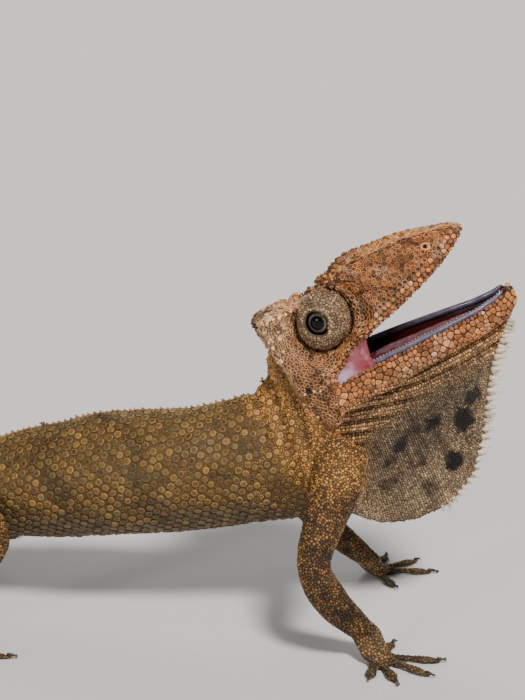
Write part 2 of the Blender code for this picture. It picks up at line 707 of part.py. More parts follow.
def paw(name, kind, side, joints, radii):
    """A hand or foot: a palm that bends from the wrist to the floor, five digits and their claws."""
    wrist = Vector(joints[-1])
    down = (Vector(through(joints, 4.0)) - Vector(through(joints, 3.9))).normalized()
    heading = math.radians(HEADING[kind]) * -side
    way = Vector((math.cos(heading), math.sin(heading), 0))
    flat_across = Vector((-way.y, way.x, 0))
    reach = PALM_REACH[kind]
    palm = wrist + down * 2.6
    path = [wrist, Vector((palm.x, palm.y, max(palm.z, 3.0))),
            Vector((palm.x, palm.y, 1.9)) + way * reach * 0.5, Vector((palm.x, palm.y, 1.3)) + way * reach]
    first = limb_rings(joints, radii, WRIST_T - 0.2, WRIST_T, 2)[-1]
    rings = [[p + down * 2 * GAP for p in first]]
    for n, (middle, (wide, tall)) in enumerate(zip(path[1:], PALM[kind][1:]), 1):
        tangent = (path[min(n + 1, 3)] - path[n - 1]).normalized()
        if n == 1:
            tangent = (down + (path[2] - middle).normalized()).normalized()
        lift = (UP - tangent * tangent.z).normalized()
        ring = [middle + flat_across * wide * math.cos(a) + lift * tall * math.sin(a)
                for a in (2 * math.pi * k / 12 for k in range(12))]
        rings.append(ring)
    rings = aligned(rings)
    rings[1:] = [[floor_point(p) for p in ring] for ring in rings[1:]]
    obj = loft(name, rings)
    middle = path[2]
    pieces = []
    for angle, length in zip(DIGIT_ANGLES[kind], DIGIT_LENGTHS[kind]):
        aim = heading + math.radians(angle) * -side * -1
        share = 0.75 if abs(angle) < 60 else 0.35
        base = Vector((middle.x, middle.y, 0)) + Vector((math.cos(aim), math.sin(aim), 0)) * reach * 0.5 * share
        pieces.append(digit(base, aim, length))
        pieces.append(claw(base, aim, length))
    paint(join(obj, pieces), "limb")


def aligned(rings):
    """Turns and, where needed, reverses each ring's order so that a loft between unlike rings doesn't twist."""
    found = [rings[0]]
    for ring in rings[1:]:
        before = found[-1]
        count = len(ring)
        orders = []
        for shift in range(count):
            for step in (1, -1):
                orders.append([ring[(k * step + shift) % count] for k in range(count)])
        found.append(min(orders, key=lambda order: sum((a - b).length for a, b in zip(before, order))))
    return found


# The whole animal

def build():
    for obj in list(bpy.data.objects):
        bpy.data.objects.remove(obj)
    trunk = trunk_cutter()
    head()
    jaw()
    mouth_lining(grown(tongue(), 0.4))
    for side, tag in ((RIGHT, "right"), (LEFT, "left")):
        eyes(side, tag)
    dewlap(copy_of(trunk))
    body_length("neck", 0.0, NAPE_END, 9, 22, "flesh")
    body_length("torso", NAPE_END, TRUNK_END, 17, 22, "flesh")
    names = ("tail_base", "tail_middle", "tail_end")
    for name, start, end, sides in zip(names, TAIL_CUTS, TAIL_CUTS[1:], (18, 14, 10)):
        body_length(name, start, end, 10, sides, "flesh", tip=name == "tail_end")
    for side, tag in ((RIGHT, "right"), (LEFT, "left")):
        arm, leg = ARM_JOINTS[side], LEG_JOINTS[side]
        shoulder_cuts = [copy_of(trunk), dewlap_shape(0.4), skull(0.4), jaw_shape(0.4)]
        upper = upper_limb("upper_arm_" + tag, arm, ARM_RADII, shoulder_cuts)
        lower_limb("forearm_" + tag, arm, ARM_RADII, upper)
        paw("hand_" + tag, "hand", side, arm, ARM_RADII)
        upper = upper_limb("thigh_" + tag, leg, LEG_RADII, [copy_of(trunk)])
        lower_limb("shank_" + tag, leg, LEG_RADII, upper)
        paw("foot_" + tag, "foot", side, leg, LEG_RADII)
    bpy.data.objects.remove(trunk)
    stand_on_origin()


def copy_of(obj):
    twin = bpy.data.objects.new(obj.name + "_copy", obj.data.copy())
    bpy.context.scene.collection.objects.link(twin)
    return twin


def stand_on_origin():
    """Parents every node to one empty, placed so that the floor's origin is under the middle of the animal's box."""
    nodes = list(bpy.context.scene.objects)
    for obj in nodes:
        obj.data.shade_smooth()
        obj.data.set_sharp_from_angle(angle=math.radians(SHARP_ANGLE))
    animal = bpy.data.collections.new("bearded_anole")
    bpy.context.scene.collection.children.link(animal)
    points = [v.co for obj in nodes for v in obj.data.vertices]
    low = [min(p[i] for p in points) for i in range(3)]
    high = [max(p[i] for p in points) for i in range(3)]
    stand = bpy.data.objects.new("bearded_anole", None)
    animal.objects.link(stand)
    stand.location = (-(low[0] + high[0]) / 2, -(low[1] + high[1]) / 2, -low[2])
    for obj in nodes:
        obj.parent = stand
        bpy.context.scene.collection.objects.unlink(obj)
        animal.objects.link(obj)


build()
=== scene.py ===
# Looks of a life-size bearded anole: skin, scales, eyes, mouth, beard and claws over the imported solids.
# Lengths in the dictionaries are millimetres in the animal's own frame, as in the solids; meshes get metres.

import json
import math

import bmesh
import bpy
import numpy as np
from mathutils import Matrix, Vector
from mathutils.bvhtree import BVHTree
from mathutils.kdtree import KDTree

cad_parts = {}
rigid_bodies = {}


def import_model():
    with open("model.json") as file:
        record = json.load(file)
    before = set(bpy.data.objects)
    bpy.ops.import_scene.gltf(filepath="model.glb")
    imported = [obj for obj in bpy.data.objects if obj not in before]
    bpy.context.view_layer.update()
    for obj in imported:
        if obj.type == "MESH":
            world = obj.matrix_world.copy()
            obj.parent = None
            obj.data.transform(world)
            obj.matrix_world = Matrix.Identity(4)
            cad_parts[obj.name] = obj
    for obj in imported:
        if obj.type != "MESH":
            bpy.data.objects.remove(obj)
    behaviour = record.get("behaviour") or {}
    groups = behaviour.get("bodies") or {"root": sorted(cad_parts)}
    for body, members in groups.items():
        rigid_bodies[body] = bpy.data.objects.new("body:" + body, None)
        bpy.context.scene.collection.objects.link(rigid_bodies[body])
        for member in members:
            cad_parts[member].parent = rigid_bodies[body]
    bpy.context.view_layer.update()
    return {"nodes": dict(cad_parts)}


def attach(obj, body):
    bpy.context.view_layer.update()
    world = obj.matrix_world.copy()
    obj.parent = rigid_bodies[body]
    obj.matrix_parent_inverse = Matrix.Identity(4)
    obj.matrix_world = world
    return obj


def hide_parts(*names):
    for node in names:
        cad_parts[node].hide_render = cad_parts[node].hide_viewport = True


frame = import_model()
mm = 0.001
standAt = np.array((99.158, -11.657, 0.0))  # where the solids' stand lies, so world = own + standAt
mouthCorner = np.array((-7.2, 0, 60.9))
headPitch, gape = math.radians(50.2), math.radians(26.1)
headAlong = np.array((math.cos(headPitch), 0, math.sin(headPitch)))
headUp = np.array((-math.sin(headPitch), 0, math.cos(headPitch)))
jawAlong = np.array((math.cos(headPitch - gape), 0, math.sin(headPitch - gape)))
jawUp = np.array((-math.sin(headPitch - gape), 0, math.cos(headPitch - gape)))
sideways = np.array((0, 1.0, 0))
sides = ((-1, "right"), (1, "left"))
print("solids loaded:", len(frame["nodes"]), "nodes")


def lin(r, g, b):  # a colour on a scale of 0 to 255, as linear light
    c = np.array((r, g, b)) / 255
    return np.where(c < 0.0404, c / 12.92, ((c + 0.055) / 1.055) ** 2.4)


def evenly(colour, count):
    return np.tile(lin(*colour), (count, 1))


def profile(keys, x):  # the value at x along pairs of (place, value)
    xs, ys = zip(*keys)
    return np.interp(x, xs, ys)


def unit(v):
    return v / np.maximum(np.linalg.norm(v, axis=-1, keepdims=True), 1e-9)


def smoothStep(x, low, high):
    f = np.clip((x - low) / (high - low), 0, 1)
    return f * f * (3 - 2 * f)


def bell(x, middle, width):
    return np.exp(-((x - middle) / width) ** 2)


def murmur(points, size, seed=0):  # smooth noise between -1 and 1
    grid = points / size + seed * 17.31
    cell = np.floor(grid).astype(np.int64)
    f = grid - cell
    f = f * f * (3 - 2 * f)
    total = np.zeros(len(points))
    for corner in range(8):
        bit = np.array([(corner >> k) & 1 for k in range(3)])
        c = cell + bit
        h = (c[:, 0] * 73856093) ^ (c[:, 1] * 19349663) ^ (c[:, 2] * 83492791)
        h = (h * 1103515245 + 12345) & 0x7FFFFFFF
        value = ((h >> 9) & 0xFFFF) / 32767.5 - 1
        total += value * np.prod(np.where(bit == 1, f, 1 - f), axis=1)
    return total


def layered(points, size, seed=0):
    return (murmur(points, size, seed) + 0.5 * murmur(points, size / 2.1, seed + 1)
            + 0.25 * murmur(points, size / 4.3, seed + 2)) / 1.5


def fetched(data, key, width, kind=np.int32):  # what a mesh holds of its corners, edges or faces, as a table
    flat = np.empty(len(data) * width, kind)
    data.foreach_get(key, flat)
    return flat.reshape(-1, width)


def ownPoints(mesh):  # vertex places in the animal's own millimetres
    return fetched(mesh.vertices, "co", 3, np.float32).astype(float) / mm - standAt


def putPoints(mesh, points):
    mesh.vertices.foreach_set("co", ((points + standAt) * mm).astype(np.float32).ravel())
    mesh.update()


def triangleTable(mesh):
    mesh.calc_loop_triangles()
    return fetched(mesh.loop_triangles, "vertices", 3)


def edgeTable(mesh):
    return fetched(mesh.edges, "vertices", 2)


def vertexNormals(points, tris):
    a, b, c = (points[tris[:, k]] for k in range(3))
    face = np.cross(b - a, c - a)
    total = [sum(np.bincount(tris[:, k], face[:, m], len(points)) for k in range(3)) for m in range(3)]
    return unit(np.stack(total, 1))


def spread(values, edges, rounds, share=0.5):  # evens a value out over the skin
    a, b = edges.T
    count = np.maximum(np.bincount(edges.ravel(), minlength=len(values)), 1)
    flat = values.reshape(len(values), -1)
    for _ in range(rounds):
        total = np.stack([np.bincount(a, flat[b, k], len(flat)) + np.bincount(b, flat[a, k], len(flat))
                          for k in range(flat.shape[1])], 1)
        flat = flat + (total / count[:, None] - flat) * (share if np.isscalar(share) else share[:, None])
    return flat.reshape(values.shape)


def ironed(points, edges, weight, rounds):  # smooths without shrinking
    for _ in range(rounds):
        points = spread(points, edges, 1, 0.5 * weight)
        points = spread(points, edges, 1, -0.52 * weight)
    return points


def linked(name, data):
    obj = bpy.data.objects.new(name, data)
    bpy.context.scene.collection.objects.link(obj)
    return obj


def addObject(name, mesh, materials, replaces=()):
    obj = linked(name, mesh)
    for material in materials:
        mesh.materials.append(material)
    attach(obj, "root")
    if replaces:
        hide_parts(*replaces)
    return obj


def meshFrom(name, points, loops, starts):
    mesh = bpy.data.meshes.new(name)
    mesh.vertices.add(len(points))
    mesh.loops.add(len(loops))
    mesh.polygons.add(len(starts))
    mesh.loops.foreach_set("vertex_index", loops.astype(np.int32))
    mesh.polygons.foreach_set("loop_start", starts.astype(np.int32))
    putPoints(mesh, points)
    mesh.update(calc_edges=True)
    mesh.shade_smooth()
    return mesh


def ringFaces(levels, corners):  # walls between rings, a fan to the last corner and a floor
    faces = []
    for level in range(levels - 1):
        low, high = level * corners, (level + 1) * corners
        for k in range(corners):
            m = (k + 1) % corners
            faces.append([low + k, low + m, high + m, high + k])
    last = (levels - 1) * corners
    faces += [[last + k, last + (k + 1) % corners, levels * corners] for k in range(corners)]
    faces.append(list(range(corners - 1, -1, -1)))
    return faces


def repeatedMesh(name, block, faces):  # one mesh of many like shapes, and its corners in order
    count, perVerts = block.shape[:2]
    sizes = np.array([len(f) for f in faces])
    loops = np.concatenate([np.array(f) for f in faces])
    allLoops = (loops[None] + np.arange(count)[:, None] * perVerts).ravel()
    starts = np.concatenate([[0], np.cumsum(sizes)[:-1]])
    allStarts = (starts[None] + np.arange(count)[:, None] * len(loops)).ravel()
    return meshFrom(name, block.reshape(-1, 3), allLoops, allStarts), allLoops


def setAttribute(mesh, name, values):
    kind = "FLOAT_COLOR" if values.ndim == 2 else "FLOAT"
    layer = mesh.attributes.new(name, kind, "POINT")
    if values.ndim == 2:
        values = np.concatenate([np.clip(values, 0.001, 0.95), np.ones((len(values), 1))], 1)
        layer.data.foreach_set("color", values.astype(np.float32).ravel())
    else:
        layer.data.foreach_set("value", values.astype(np.float32))


def meshOf(name, bm):
    mesh = bpy.data.meshes.new(name)
    bm.to_mesh(mesh)
    bm.free()
    return mesh


def mergedCopy(names, swell=0.0):  # copies of solids in one, each grown by the swell
    whole = bmesh.new()
    for name in names:
        part = bmesh.new()
        part.from_mesh(frame["nodes"][name].data)
        bmesh.ops.remove_doubles(part, verts=part.verts, dist=2e-6)
        part.normal_update()
        for vert in part.verts:
            vert.co += vert.normal * swell * mm
        mesh = meshOf("part", part)
        whole.from_mesh(mesh)
        bpy.data.meshes.remove(mesh)
    return whole


def largestOnly(mesh):  # leaves out loose scraps
    edges = edgeTable(mesh)
    label = np.arange(len(mesh.vertices))
    while True:
        low = np.minimum(label[edges[:, 0]], label[edges[:, 1]])
        fresh = label.copy()
        np.minimum.at(fresh, edges[:, 0], low)
        np.minimum.at(fresh, edges[:, 1], low)
        fresh = fresh[fresh]
        if (fresh == label).all():
            break
        label = fresh
    biggest = np.bincount(label).argmax()
    bm = bmesh.new()
    bm.from_mesh(mesh)
    bm.verts.ensure_lookup_table()
    bmesh.ops.delete(bm, geom=[bm.verts[n] for n in np.flatnonzero(label != biggest)], context="VERTS")
    bm.to_mesh(mesh)
    bm.free()


def reworked(mesh, kind, **settings):  # what one modifier makes of a mesh
    obj = linked("rough", mesh)
    modifier = obj.modifiers.new("rework", kind)
    for key, value in settings.items():
        setattr(modifier, key, value)
    made = bpy.data.meshes.new_from_object(obj.evaluated_get(bpy.context.evaluated_depsgraph_get()))
    bpy.data.objects.remove(obj)
    bpy.data.meshes.remove(mesh)
    return made


def remeshed(bm, voxel):
    made = reworked(meshOf("rough", bm), "REMESH", mode="VOXEL", voxel_size=voxel * mm)
    largestOnly(made)
    return made


def bent(segments, rings, place):  # a grid that place() bends into a sheet or tube, its seams merged
    bm = bmesh.new()
    bmesh.ops.create_grid(bm, x_segments=segments, y_segments=rings, size=0.5)
    flat = np.array([v.co[:2] for v in bm.verts]) + 0.5
    for vert, point in zip(bm.verts, place(flat[:, 0], flat[:, 1])):
        vert.co = Vector(point)
    bmesh.ops.remove_doubles(bm, verts=bm.verts, dist=0.002)
    return bm


def spun(keys, steps, closed):  # an outline of (angle, share) spun round its own pole
    bm = bmesh.new()
    verts = [bm.verts.new((k * math.sin(t), 0, k * math.cos(t))) for t, k in keys]
    pairs = zip(verts, verts[1:] + (verts[:1] if closed else []))
    edges = [bm.edges.new(pair) for pair in pairs]
    bmesh.ops.spin(bm, geom=verts + edges, cent=(0, 0, 0), axis=(0, 0, 1), angle=2 * math.pi, steps=steps,
                   use_merge=True)
    bmesh.ops.remove_doubles(bm, verts=bm.verts, dist=1e-5)
    return bm


def finished(name, bm, moved=None):  # own millimetres to a smooth mesh in its place
    if moved is not None:
        for vert, point in zip(bm.verts, moved):
            vert.co = Vector(point)
    bmesh.ops.recalc_face_normals(bm, faces=bm.faces)
    mesh = meshOf(name, bm)
    putPoints(mesh, fetched(mesh.vertices, "co", 3, np.float32).astype(float))
    mesh.shade_smooth()
    return mesh


def headPoint(along, up, across, ways=(headAlong, headUp)):
    return mouthCorner + np.multiply.outer(along, ways[0]) + np.multiply.outer(up, ways[1]) \
        + np.multiply.outer(across, sideways)


def jawPoint(along, up, across):
    return headPoint(along, up, across, (jawAlong, jawUp))


def upright(pairs):  # places or ways along X and Z, in the animal's middle plane
    return np.stack([pairs[:, 0], np.zeros(len(pairs)), pairs[:, 1]], 1)


def nodesOf(name):
    material = bpy.data.materials.new(name)
    material.use_nodes = True
    tree = material.node_tree
    return material, tree, tree.nodes["Principled BSDF"]


def setSockets(node, values):
    for socket, value in values.items():
        node.inputs[socket].default_value = value


def grain(tree, scale, detail=2.0):
    place = tree.nodes.new("ShaderNodeTexCoord")
    noise = tree.nodes.new("ShaderNodeTexNoise")
    setSockets(noise, {"Scale": scale, "Detail": detail, "Roughness": 0.5})
    tree.links.new(place.outputs["Object"], noise.inputs["Vector"])
    return noise.outputs["Fac"]


def reading(tree, name, output="Color"):
    node = tree.nodes.new("ShaderNodeAttribute")
    node.attribute_name = name
    return node.outputs[output]


def mapped(tree, value, low, high, toLow, toHigh):
    node = tree.nodes.new("ShaderNodeMapRange")
    tree.links.new(value, node.inputs["Value"])
    setSockets(node, {"From Min": low, "From Max": high, "To Min": toLow, "To Max": toHigh})
    return node.outputs["Result"]


def mixed(tree, kind, share, first, second):
    node = tree.nodes.new("ShaderNodeMix")
    node.data_type = "RGBA"
    node.blend_type = kind
    for socket, value in ((node.inputs[0], share), (node.inputs[6], first), (node.inputs[7], second)):
        if isinstance(value, bpy.types.NodeSocket):
            tree.links.new(value, socket)
        elif np.isscalar(value):
            socket.default_value = value
        else:
            socket.default_value = (*value, 1)
    return node.outputs[2]


def bumped(tree, shader, height, strength, distance):
    node = tree.nodes.new("ShaderNodeBump")
    setSockets(node, {"Strength": strength, "Distance": distance})
    tree.links.new(height, node.inputs["Height"])
    tree.links.new(node.outputs["Normal"], shader.inputs["Normal"])


def tonedGrain(tree, scale, detail, low, high):  # noise between two values
    return mapped(tree, grain(tree, scale, detail), 0.3, 0.7, low, high)


def painted(tree, shader, share):  # the piece's own colours, lighter and darker by the share
    lit = mixed(tree, "MULTIPLY", 1.0, reading(tree, "hide"), share)
    tree.links.new(lit, shader.inputs["Base Color"])
    return lit


def hideMaterial(name, dark, light, rough, bump):  # dark and light: the tones of a scale's foot and rim; dark is painted shade at the foot and in a sunk middle, light partly the rim's paler colour and partly painted highlight
    material, tree, shader = nodesOf(name)
    lit = painted(tree, shader, tonedGrain(tree, 1500, 3, 0.62, 1.38))
    # the edge attribute paints shade at each scale's foot and in its sunk middle, and highlight on its raised
    # rim
    edge = mapped(tree, reading(tree, "edge", "Fac"), 0, 1, dark, light)
    tree.links.new(mixed(tree, "MULTIPLY", 1.0, lit, edge), shader.inputs["Base Color"])
    tree.links.new(tonedGrain(tree, 500, 2, rough - 0.1, rough + 0.12), shader.inputs["Roughness"])
    bumped(tree, shader, grain(tree, 2600), bump, 0.00012)
    setSockets(shader, {"Specular IOR Level": 0.42})
    return material


def wetMaterial(name, first, second, size, rough, coat):
    material, tree, shader = nodesOf(name)
    share = mapped(tree, grain(tree, size, 3), 0.35, 0.65, 0, 1)
    painted(tree, shader, mixed(tree, "MIX", share, first, second))
    setSockets(shader, {"Roughness": rough, "Coat Weight": coat, "Coat Roughness": 0.1,
                        "Subsurface Weight": 0.15, "Subsurface Radius": (0.0012, 0.0004, 0.0003)})
    bumped(tree, shader, grain(tree, 700, 3), 0.35, 0.0002)
    return material


def eyeMaterial():
    material, tree, shader = nodesOf("eyeGloss")
    painted(tree, shader, tonedGrain(tree, 1800, 2, 0.75, 1.25))
    setSockets(shader, {"Roughness": 0.3, "Specular IOR Level": 0.04, "Coat Weight": 0.34,
                        "Coat Roughness": 0.02})
    return material


def hornMaterial():
    material, tree, shader = nodesOf("horn")
    painted(tree, shader, tonedGrain(tree, 900, 3, 0.8, 1.15))
    tree.links.new(tonedGrain(tree, 400, 2, 0.34, 0.5), shader.inputs["Roughness"])
    bumped(tree, shader, grain(tree, 1500), 0.25, 0.0001)
    setSockets(shader, {"Subsurface Weight": 0.12, "Subsurface Radius": (0.0008, 0.0005, 0.0003)})
    return material


scaleHide = hideMaterial("scaleHide", 0.03, 1.5, 0.5, 0.5)
bareHide = hideMaterial("bareHide", 0.3, 1.0, 0.7, 0.5)
mouthFlesh = wetMaterial("mouthFlesh", (0.75, 0.66, 0.7), (1.2, 1.15, 1.15), 420, 0.32, 0.6)
eyeGloss = eyeMaterial()
horn = hornMaterial()
print("materials ready")


skinPlan = {  # widths and heights are pairs of (mm along the head or jaw, value)
    "nodes": ["head", "jaw", "neck", "torso", "dewlap", "tail_base", "tail_middle", "tail_end",
              "upper_arm_left", "upper_arm_right", "forearm_left", "forearm_right", "hand_left", "hand_right",
              "thigh_left", "thigh_right", "shank_left", "shank_right", "foot_left", "foot_right"],
    "swell": 0.2,
    "voxel": 0.52,
    "kept": 0.61,
    "coatDepth": 0.24,
    "lipHeight": [(-8.5, -6.0), (-5, -6.0), (-3, -4.7), (-1, -0.9), (2, 1.2), (5, 2.1), (9, 2.6), (14, 2.3),
                  (20, 1.3), (28, 0.1), (37, -0.6), (43, -0.1), (45, 0.3)],
    "lipWidth": [(-8.5, 10.4), (-5, 12.3), (-1, 12.9), (5, 12.7), (12, 11.8), (22.5, 9.9), (33, 7.3),
                 (40.5, 4.9), (43.6, 3.2), (45, 1.9)],
    "jawWidth": [(-3, 12.4), (0, 12.3), (8, 11.7), (18, 10.1), (27, 8.2), (36, 5.9), (41, 4.1), (44, 2.6),
                 (45.6, 1.5)],
    "jawLip": [(-3, 0.0), (0, 0.6), (6, 1.4), (20, 1.5), (36, 1.5), (41, 2.1), (44, 3.2), (45.6, 2.9)],
    "crownWidth": [(-8.5, 5.0), (-5, 3.3), (-1.5, 5.3), (4, 6.6), (12, 6.4), (22, 5.8), (29, 4.7), (36, 3.4),
                   (42, 1.8), (45, 0.6)],
    "ear": (-4.2, 4.6, 12.4),
}
dewlapPlan = {
    "top": [(43.4, 0.4), (41.5, -0.8), (38, -1.6), (33, -2.2), (27, -2.8), (20, -3.2), (13, -3.5), (6, -3.8),
            (0, -4.6), (-3, -6.2)],
    "edge": [(33.6, 75.2), (32.2, 71.0), (30.2, 64.5), (29.0, 56.0), (28.2, 46.5), (26.4, 37.0), (21.0, 29.3),
             (13.0, 25.2), (4.5, 24.2), (-3.0, 26.5)],
    "throat": [1.3, 2.0, 3.0, 4.2, 5.4, 6.8, 8.0, 9.0, 9.6, 9.4],
    "thickness": 0.95,
    "rowsPerStep": 14.0,
    # dark spots: place along X and Z, half width, half height, lean in degrees, strength
    "spots": [(23.4, 50.6, 2.6, 3.5, -14, 1.0), (15.6, 50.1, 2.0, 2.2, -25, 1.0),
              (8.3, 44.4, 1.5, 2.2, -30, 0.9), (21.4, 40.3, 2.0, 2.9, -16, 1.0),
              (13.4, 39.4, 2.1, 1.4, 20, 0.8), (15.6, 33.4, 2.1, 1.7, 10, 0.75),
              (6.0, 39.4, 2.4, 1.5, 40, 0.7), (5.6, 34.4, 2.4, 1.5, 10, 0.6),
              (24.8, 56.2, 1.8, 2.6, -20, 0.9), (11.4, 47.8, 1.8, 1.2, 35, 0.6),
              (24.6, 45.6, 1.3, 1.4, 0, 0.5), (8.8, 36.6, 1.6, 1.0, 25, 0.5)],
}
eyePlan = {
    "places": {-1: (9.8, 11.7, 6.2), 1: (9.4, 10.1, 5.6)},
    "gaze": {-1: (-0.36, -0.93, 0.015), 1: (0.16, 0.97, 0.06)},
    "wide": {-1: 5.95, 1: 5.9},
    "tall": {-1: 6.85, 1: 6.2},
    "rise": 5.25,
    "opening": 2.8,
    "wall": 0.12,  # share of the lid's radius
    "floor": -0.3,
    "ball": 4.35,
    "ring": 2.02,
}
zoneNames = ["mouth", "snout", "crown", "temple", "casque", "lip", "jaw", "throat", "dewlap", "neck", "flank",
             "back", "belly", "tail", "limb", "paw"]
zoneOf = {name: n for n, name in enumerate(zoneNames)}


def eyeCentre(side):
    along, up, across = eyePlan["places"][side]
    return headPoint(along, up, across * side)


def outwardOf(side):
    return unit(headAlong * 0.08 + sideways * side + headUp * 0.06)


def headCoords(points):
    d = points - mouthCorner
    return d @ headAlong, d @ headUp, d[:, 1]


def jawCoords(points):
    d = points - mouthCorner
    return d @ jawAlong, d @ jawUp


def alongFan(key, steps):
    return np.stack([np.interp(steps, range(10), [row[k] for row in dewlapPlan[key]]) for k in (0, 1)], 1)


# step along the fan, share from jaw to free edge, mm per step, its ways down and across, mm beyond the edge,
# and the way out there
def dewlapCoords(points):
    steps, shares = np.linspace(0, 9, 91), np.linspace(0, 1, 24)
    top = alongFan("top", steps)
    top = (mouthCorner + top[:, :1] * jawAlong + top[:, 1:] * jawUp)[:, [0, 2]]
    low = alongFan("edge", steps)
    cells = top[:, None] + (low - top)[:, None] * shares[None, :, None]
    flat = cells.reshape(-1, 2)
    best = np.empty(len(points), int)
    for start in range(0, len(points), 4000):
        part = points[start:start + 4000, None, [0, 2]] - flat[None]
        best[start:start + 4000] = (part ** 2).sum(-1).argmin(1)
    row, col = best // 24, best % 24
    step = np.gradient(cells, steps, axis=0)
    down = unit(low - top)[row]
    local = points[:, [0, 2]] - flat[best]
    pace = np.linalg.norm(step, axis=-1)[row, col]
    across = unit(step[row, col])
    fine = steps[row] + (local * across).sum(-1) / np.maximum(pace, 0.4)
    length = np.linalg.norm(low - top, axis=1)[row]
    reach = (local * down).sum(-1)
    out = np.stack([-across[:, 1], across[:, 0]], 1)
    out *= np.sign((out * down).sum(1))[:, None]
    beyond = np.where(col == 23, (local * out).sum(1), -1)
    return fine, np.clip(shares[col] + reach / np.maximum(length, 1), 0, 1), pace, down, across, beyond, out


def trimDewlap(points, member):  # takes the stumps of the beard off the fan's rim
    fine, share, _, _, _, beyond, out = dewlapCoords(points)
    over = np.where(member, np.maximum(beyond - 0.1, 0), 0)
    points = points - upright(out * over[:, None])
    throat = np.interp(fine, range(10), dewlapPlan["throat"])
    thin = dewlapPlan["thickness"]
    half = thin + (throat - thin) * (1 - share) ** 2.2 + 0.12
    bow = 0.9 * np.sin(math.pi * share) * np.sin(1.1 * fine)
    held = np.clip(points[:, 1], bow - half, bow + half)
    rim = member & (share > 0.6)
    points[:, 1] = np.where(rim, held, points[:, 1])
    return points


def buildSkin():
    mesh = remeshed(mergedCopy(skinPlan["nodes"], skinPlan["swell"]), skinPlan["voxel"])
    mesh = reworked(mesh, "DECIMATE", ratio=skinPlan["kept"])  # fewer triangles where the skin is flat
    points, edges, tris = ownPoints(mesh), edgeTable(mesh), triangleTable(mesh)
    print("rough skin:", len(tris), "triangles")

    owner, corners, faces, parts = [], [], [], 0
    for number, name in enumerate(skinPlan["nodes"]):
        node = frame["nodes"][name].data
        own, table = ownPoints(node), triangleTable(node)
        corners.append(own)
        faces.append(table + parts)
        owner += [number] * len(table)
        parts += len(own)
    tree = BVHTree.FromPolygons(np.concatenate(corners).tolist(), np.concatenate(faces).tolist())
    nearest = np.array([tree.find_nearest(Vector(p))[2] for p in points])
    part = np.array(owner)[nearest]
    partOf = {name: part == n for n, name in enumerate(skinPlan["nodes"])}

    fine = partOf["head"] | partOf["jaw"]
    paws = sum(partOf[n] for n in ("hand_left", "hand_right", "foot_left", "foot_right")).astype(bool)
    tail = partOf["tail_base"] | partOf["tail_middle"] | partOf["tail_end"]
    trunk = partOf["neck"] | partOf["torso"] | tail
    points = trimDewlap(points, partOf["dewlap"])
    weight = spread(np.where(fine, 0.55, np.where(paws, 0.3, 1.0)), edges, 8)
    points = ironed(points, edges, weight, 26)
    crest = spread((trunk & (vertexNormals(points, tris)[:, 2] > 0.5)).astype(float), edges, 5)
    for _ in range(2):  # the crest's stumps are flattened, and pointed scales stand there later
        flatter = spread(points, edges, 26)
        normals = vertexNormals(flatter, tris)
        stump = ((points - flatter) * normals).sum(1)
        points = points - normals * (np.maximum(stump - 0.05, 0) * np.minimum(1, crest * 1.5))[:, None]
    rim = spread((partOf["dewlap"] & (dewlapCoords(points)[1] > 0.6)).astype(float), edges, 4)
    points = trimDewlap(ironed(points, edges, rim, 30), partOf["dewlap"])
    points = ironed(points, edges, rim, 6)
    normals = vertexNormals(points, tris)

    u, v, w = headCoords(points)
    p, q = jawCoords(points)
    zone = np.full(len(points), zoneOf["limb"])
    head = partOf["head"]
    lip, width = profile(skinPlan["lipHeight"], u), profile(skinPlan["lipWidth"], u)
    facing = normals @ headUp
    inMouth = head & (u > -1.5) & ((facing < -0.35) & (np.abs(w) < width - 0.7) & (v < lip + 3.6))
    zone[head] = zoneOf["temple"]  # then by place and facing, the later ones over the earlier
    zone[head & (u > 17 - 0.35 * (v - 8))] = zoneOf["snout"]
    onTop = np.abs(w) < profile(skinPlan["crownWidth"], u)
    zone[head & (facing > 0.45) & (u > 4) & onTop] = zoneOf["crown"]
    zone[head & (v > 15 + 0.5 * u) & (u < 4.5)] = zoneOf["casque"]
    zone[head & (v - lip < 2.9) & (u > 0)] = zoneOf["lip"]
    zone[inMouth] = zoneOf["mouth"]
    jaw = partOf["jaw"]
    jawLip, jawWidth = profile(skinPlan["jawLip"], p), profile(skinPlan["jawWidth"], p)
    zone[jaw] = zoneOf["jaw"]
    zone[jaw & (jawLip - q > 6.2)] = zoneOf["throat"]
    zone[jaw & (np.abs(w) < jawWidth - 0.9) & (normals @ jawUp > 0.0) & (q > -3)] = zoneOf["mouth"]
    dewlap = partOf["dewlap"]
    step, share, pace, down, across, _, _ = dewlapCoords(points)
    fall = jawLip - q
    zone[dewlap] = zoneOf["dewlap"]
    zone[dewlap & (fall < 12 + 0.28 * np.clip(20 - p, 0, 30))] = zoneOf["throat"]
    zone[trunk] = zoneOf["flank"]
    zone[partOf["neck"]] = zoneOf["neck"]
    zone[trunk & (normals[:, 2] < -0.62)] = zoneOf["belly"]
    zone[trunk & (normals[:, 2] > 0.86) & ~partOf["neck"]] = zoneOf["back"]
    zone[tail] = zoneOf["tail"]
    zone[paws] = zoneOf["paw"]
    return {"mesh": mesh, "points": points, "edges": edges, "tris": tris, "normals": normals, "zone": zone,
            "part": partOf, "step": step, "share": share, "pace": pace, "down": down, "across": across,
            "u": u, "v": v, "p": p, "fall": fall, "upperFall": v - lip, "trunk": trunk}


skin = buildSkin()
print("skin smoothed and zoned")


foldPlan = {"throat": 0.62, "neck": 0.34, "dewlap": 0.1, "limb": 0.14, "cheek": 0.22, "flank": 0.45,
            "flankWave": 0.22, "turret": 6.75, "cheekOut": 0.6, "crestOver": 0.3, "ground": 0.12,
            "rings": [(8.2, 0.7, 0.55), (9.5, 0.55, -0.3), (10.6, 0.7, 0.25)]}  # distance, width, height


nostrilPlan = {"place": (36.9, 4.7, 4.9), "radius": 0.78, "rim": 0.34, "colour": (184, 126, 84)}


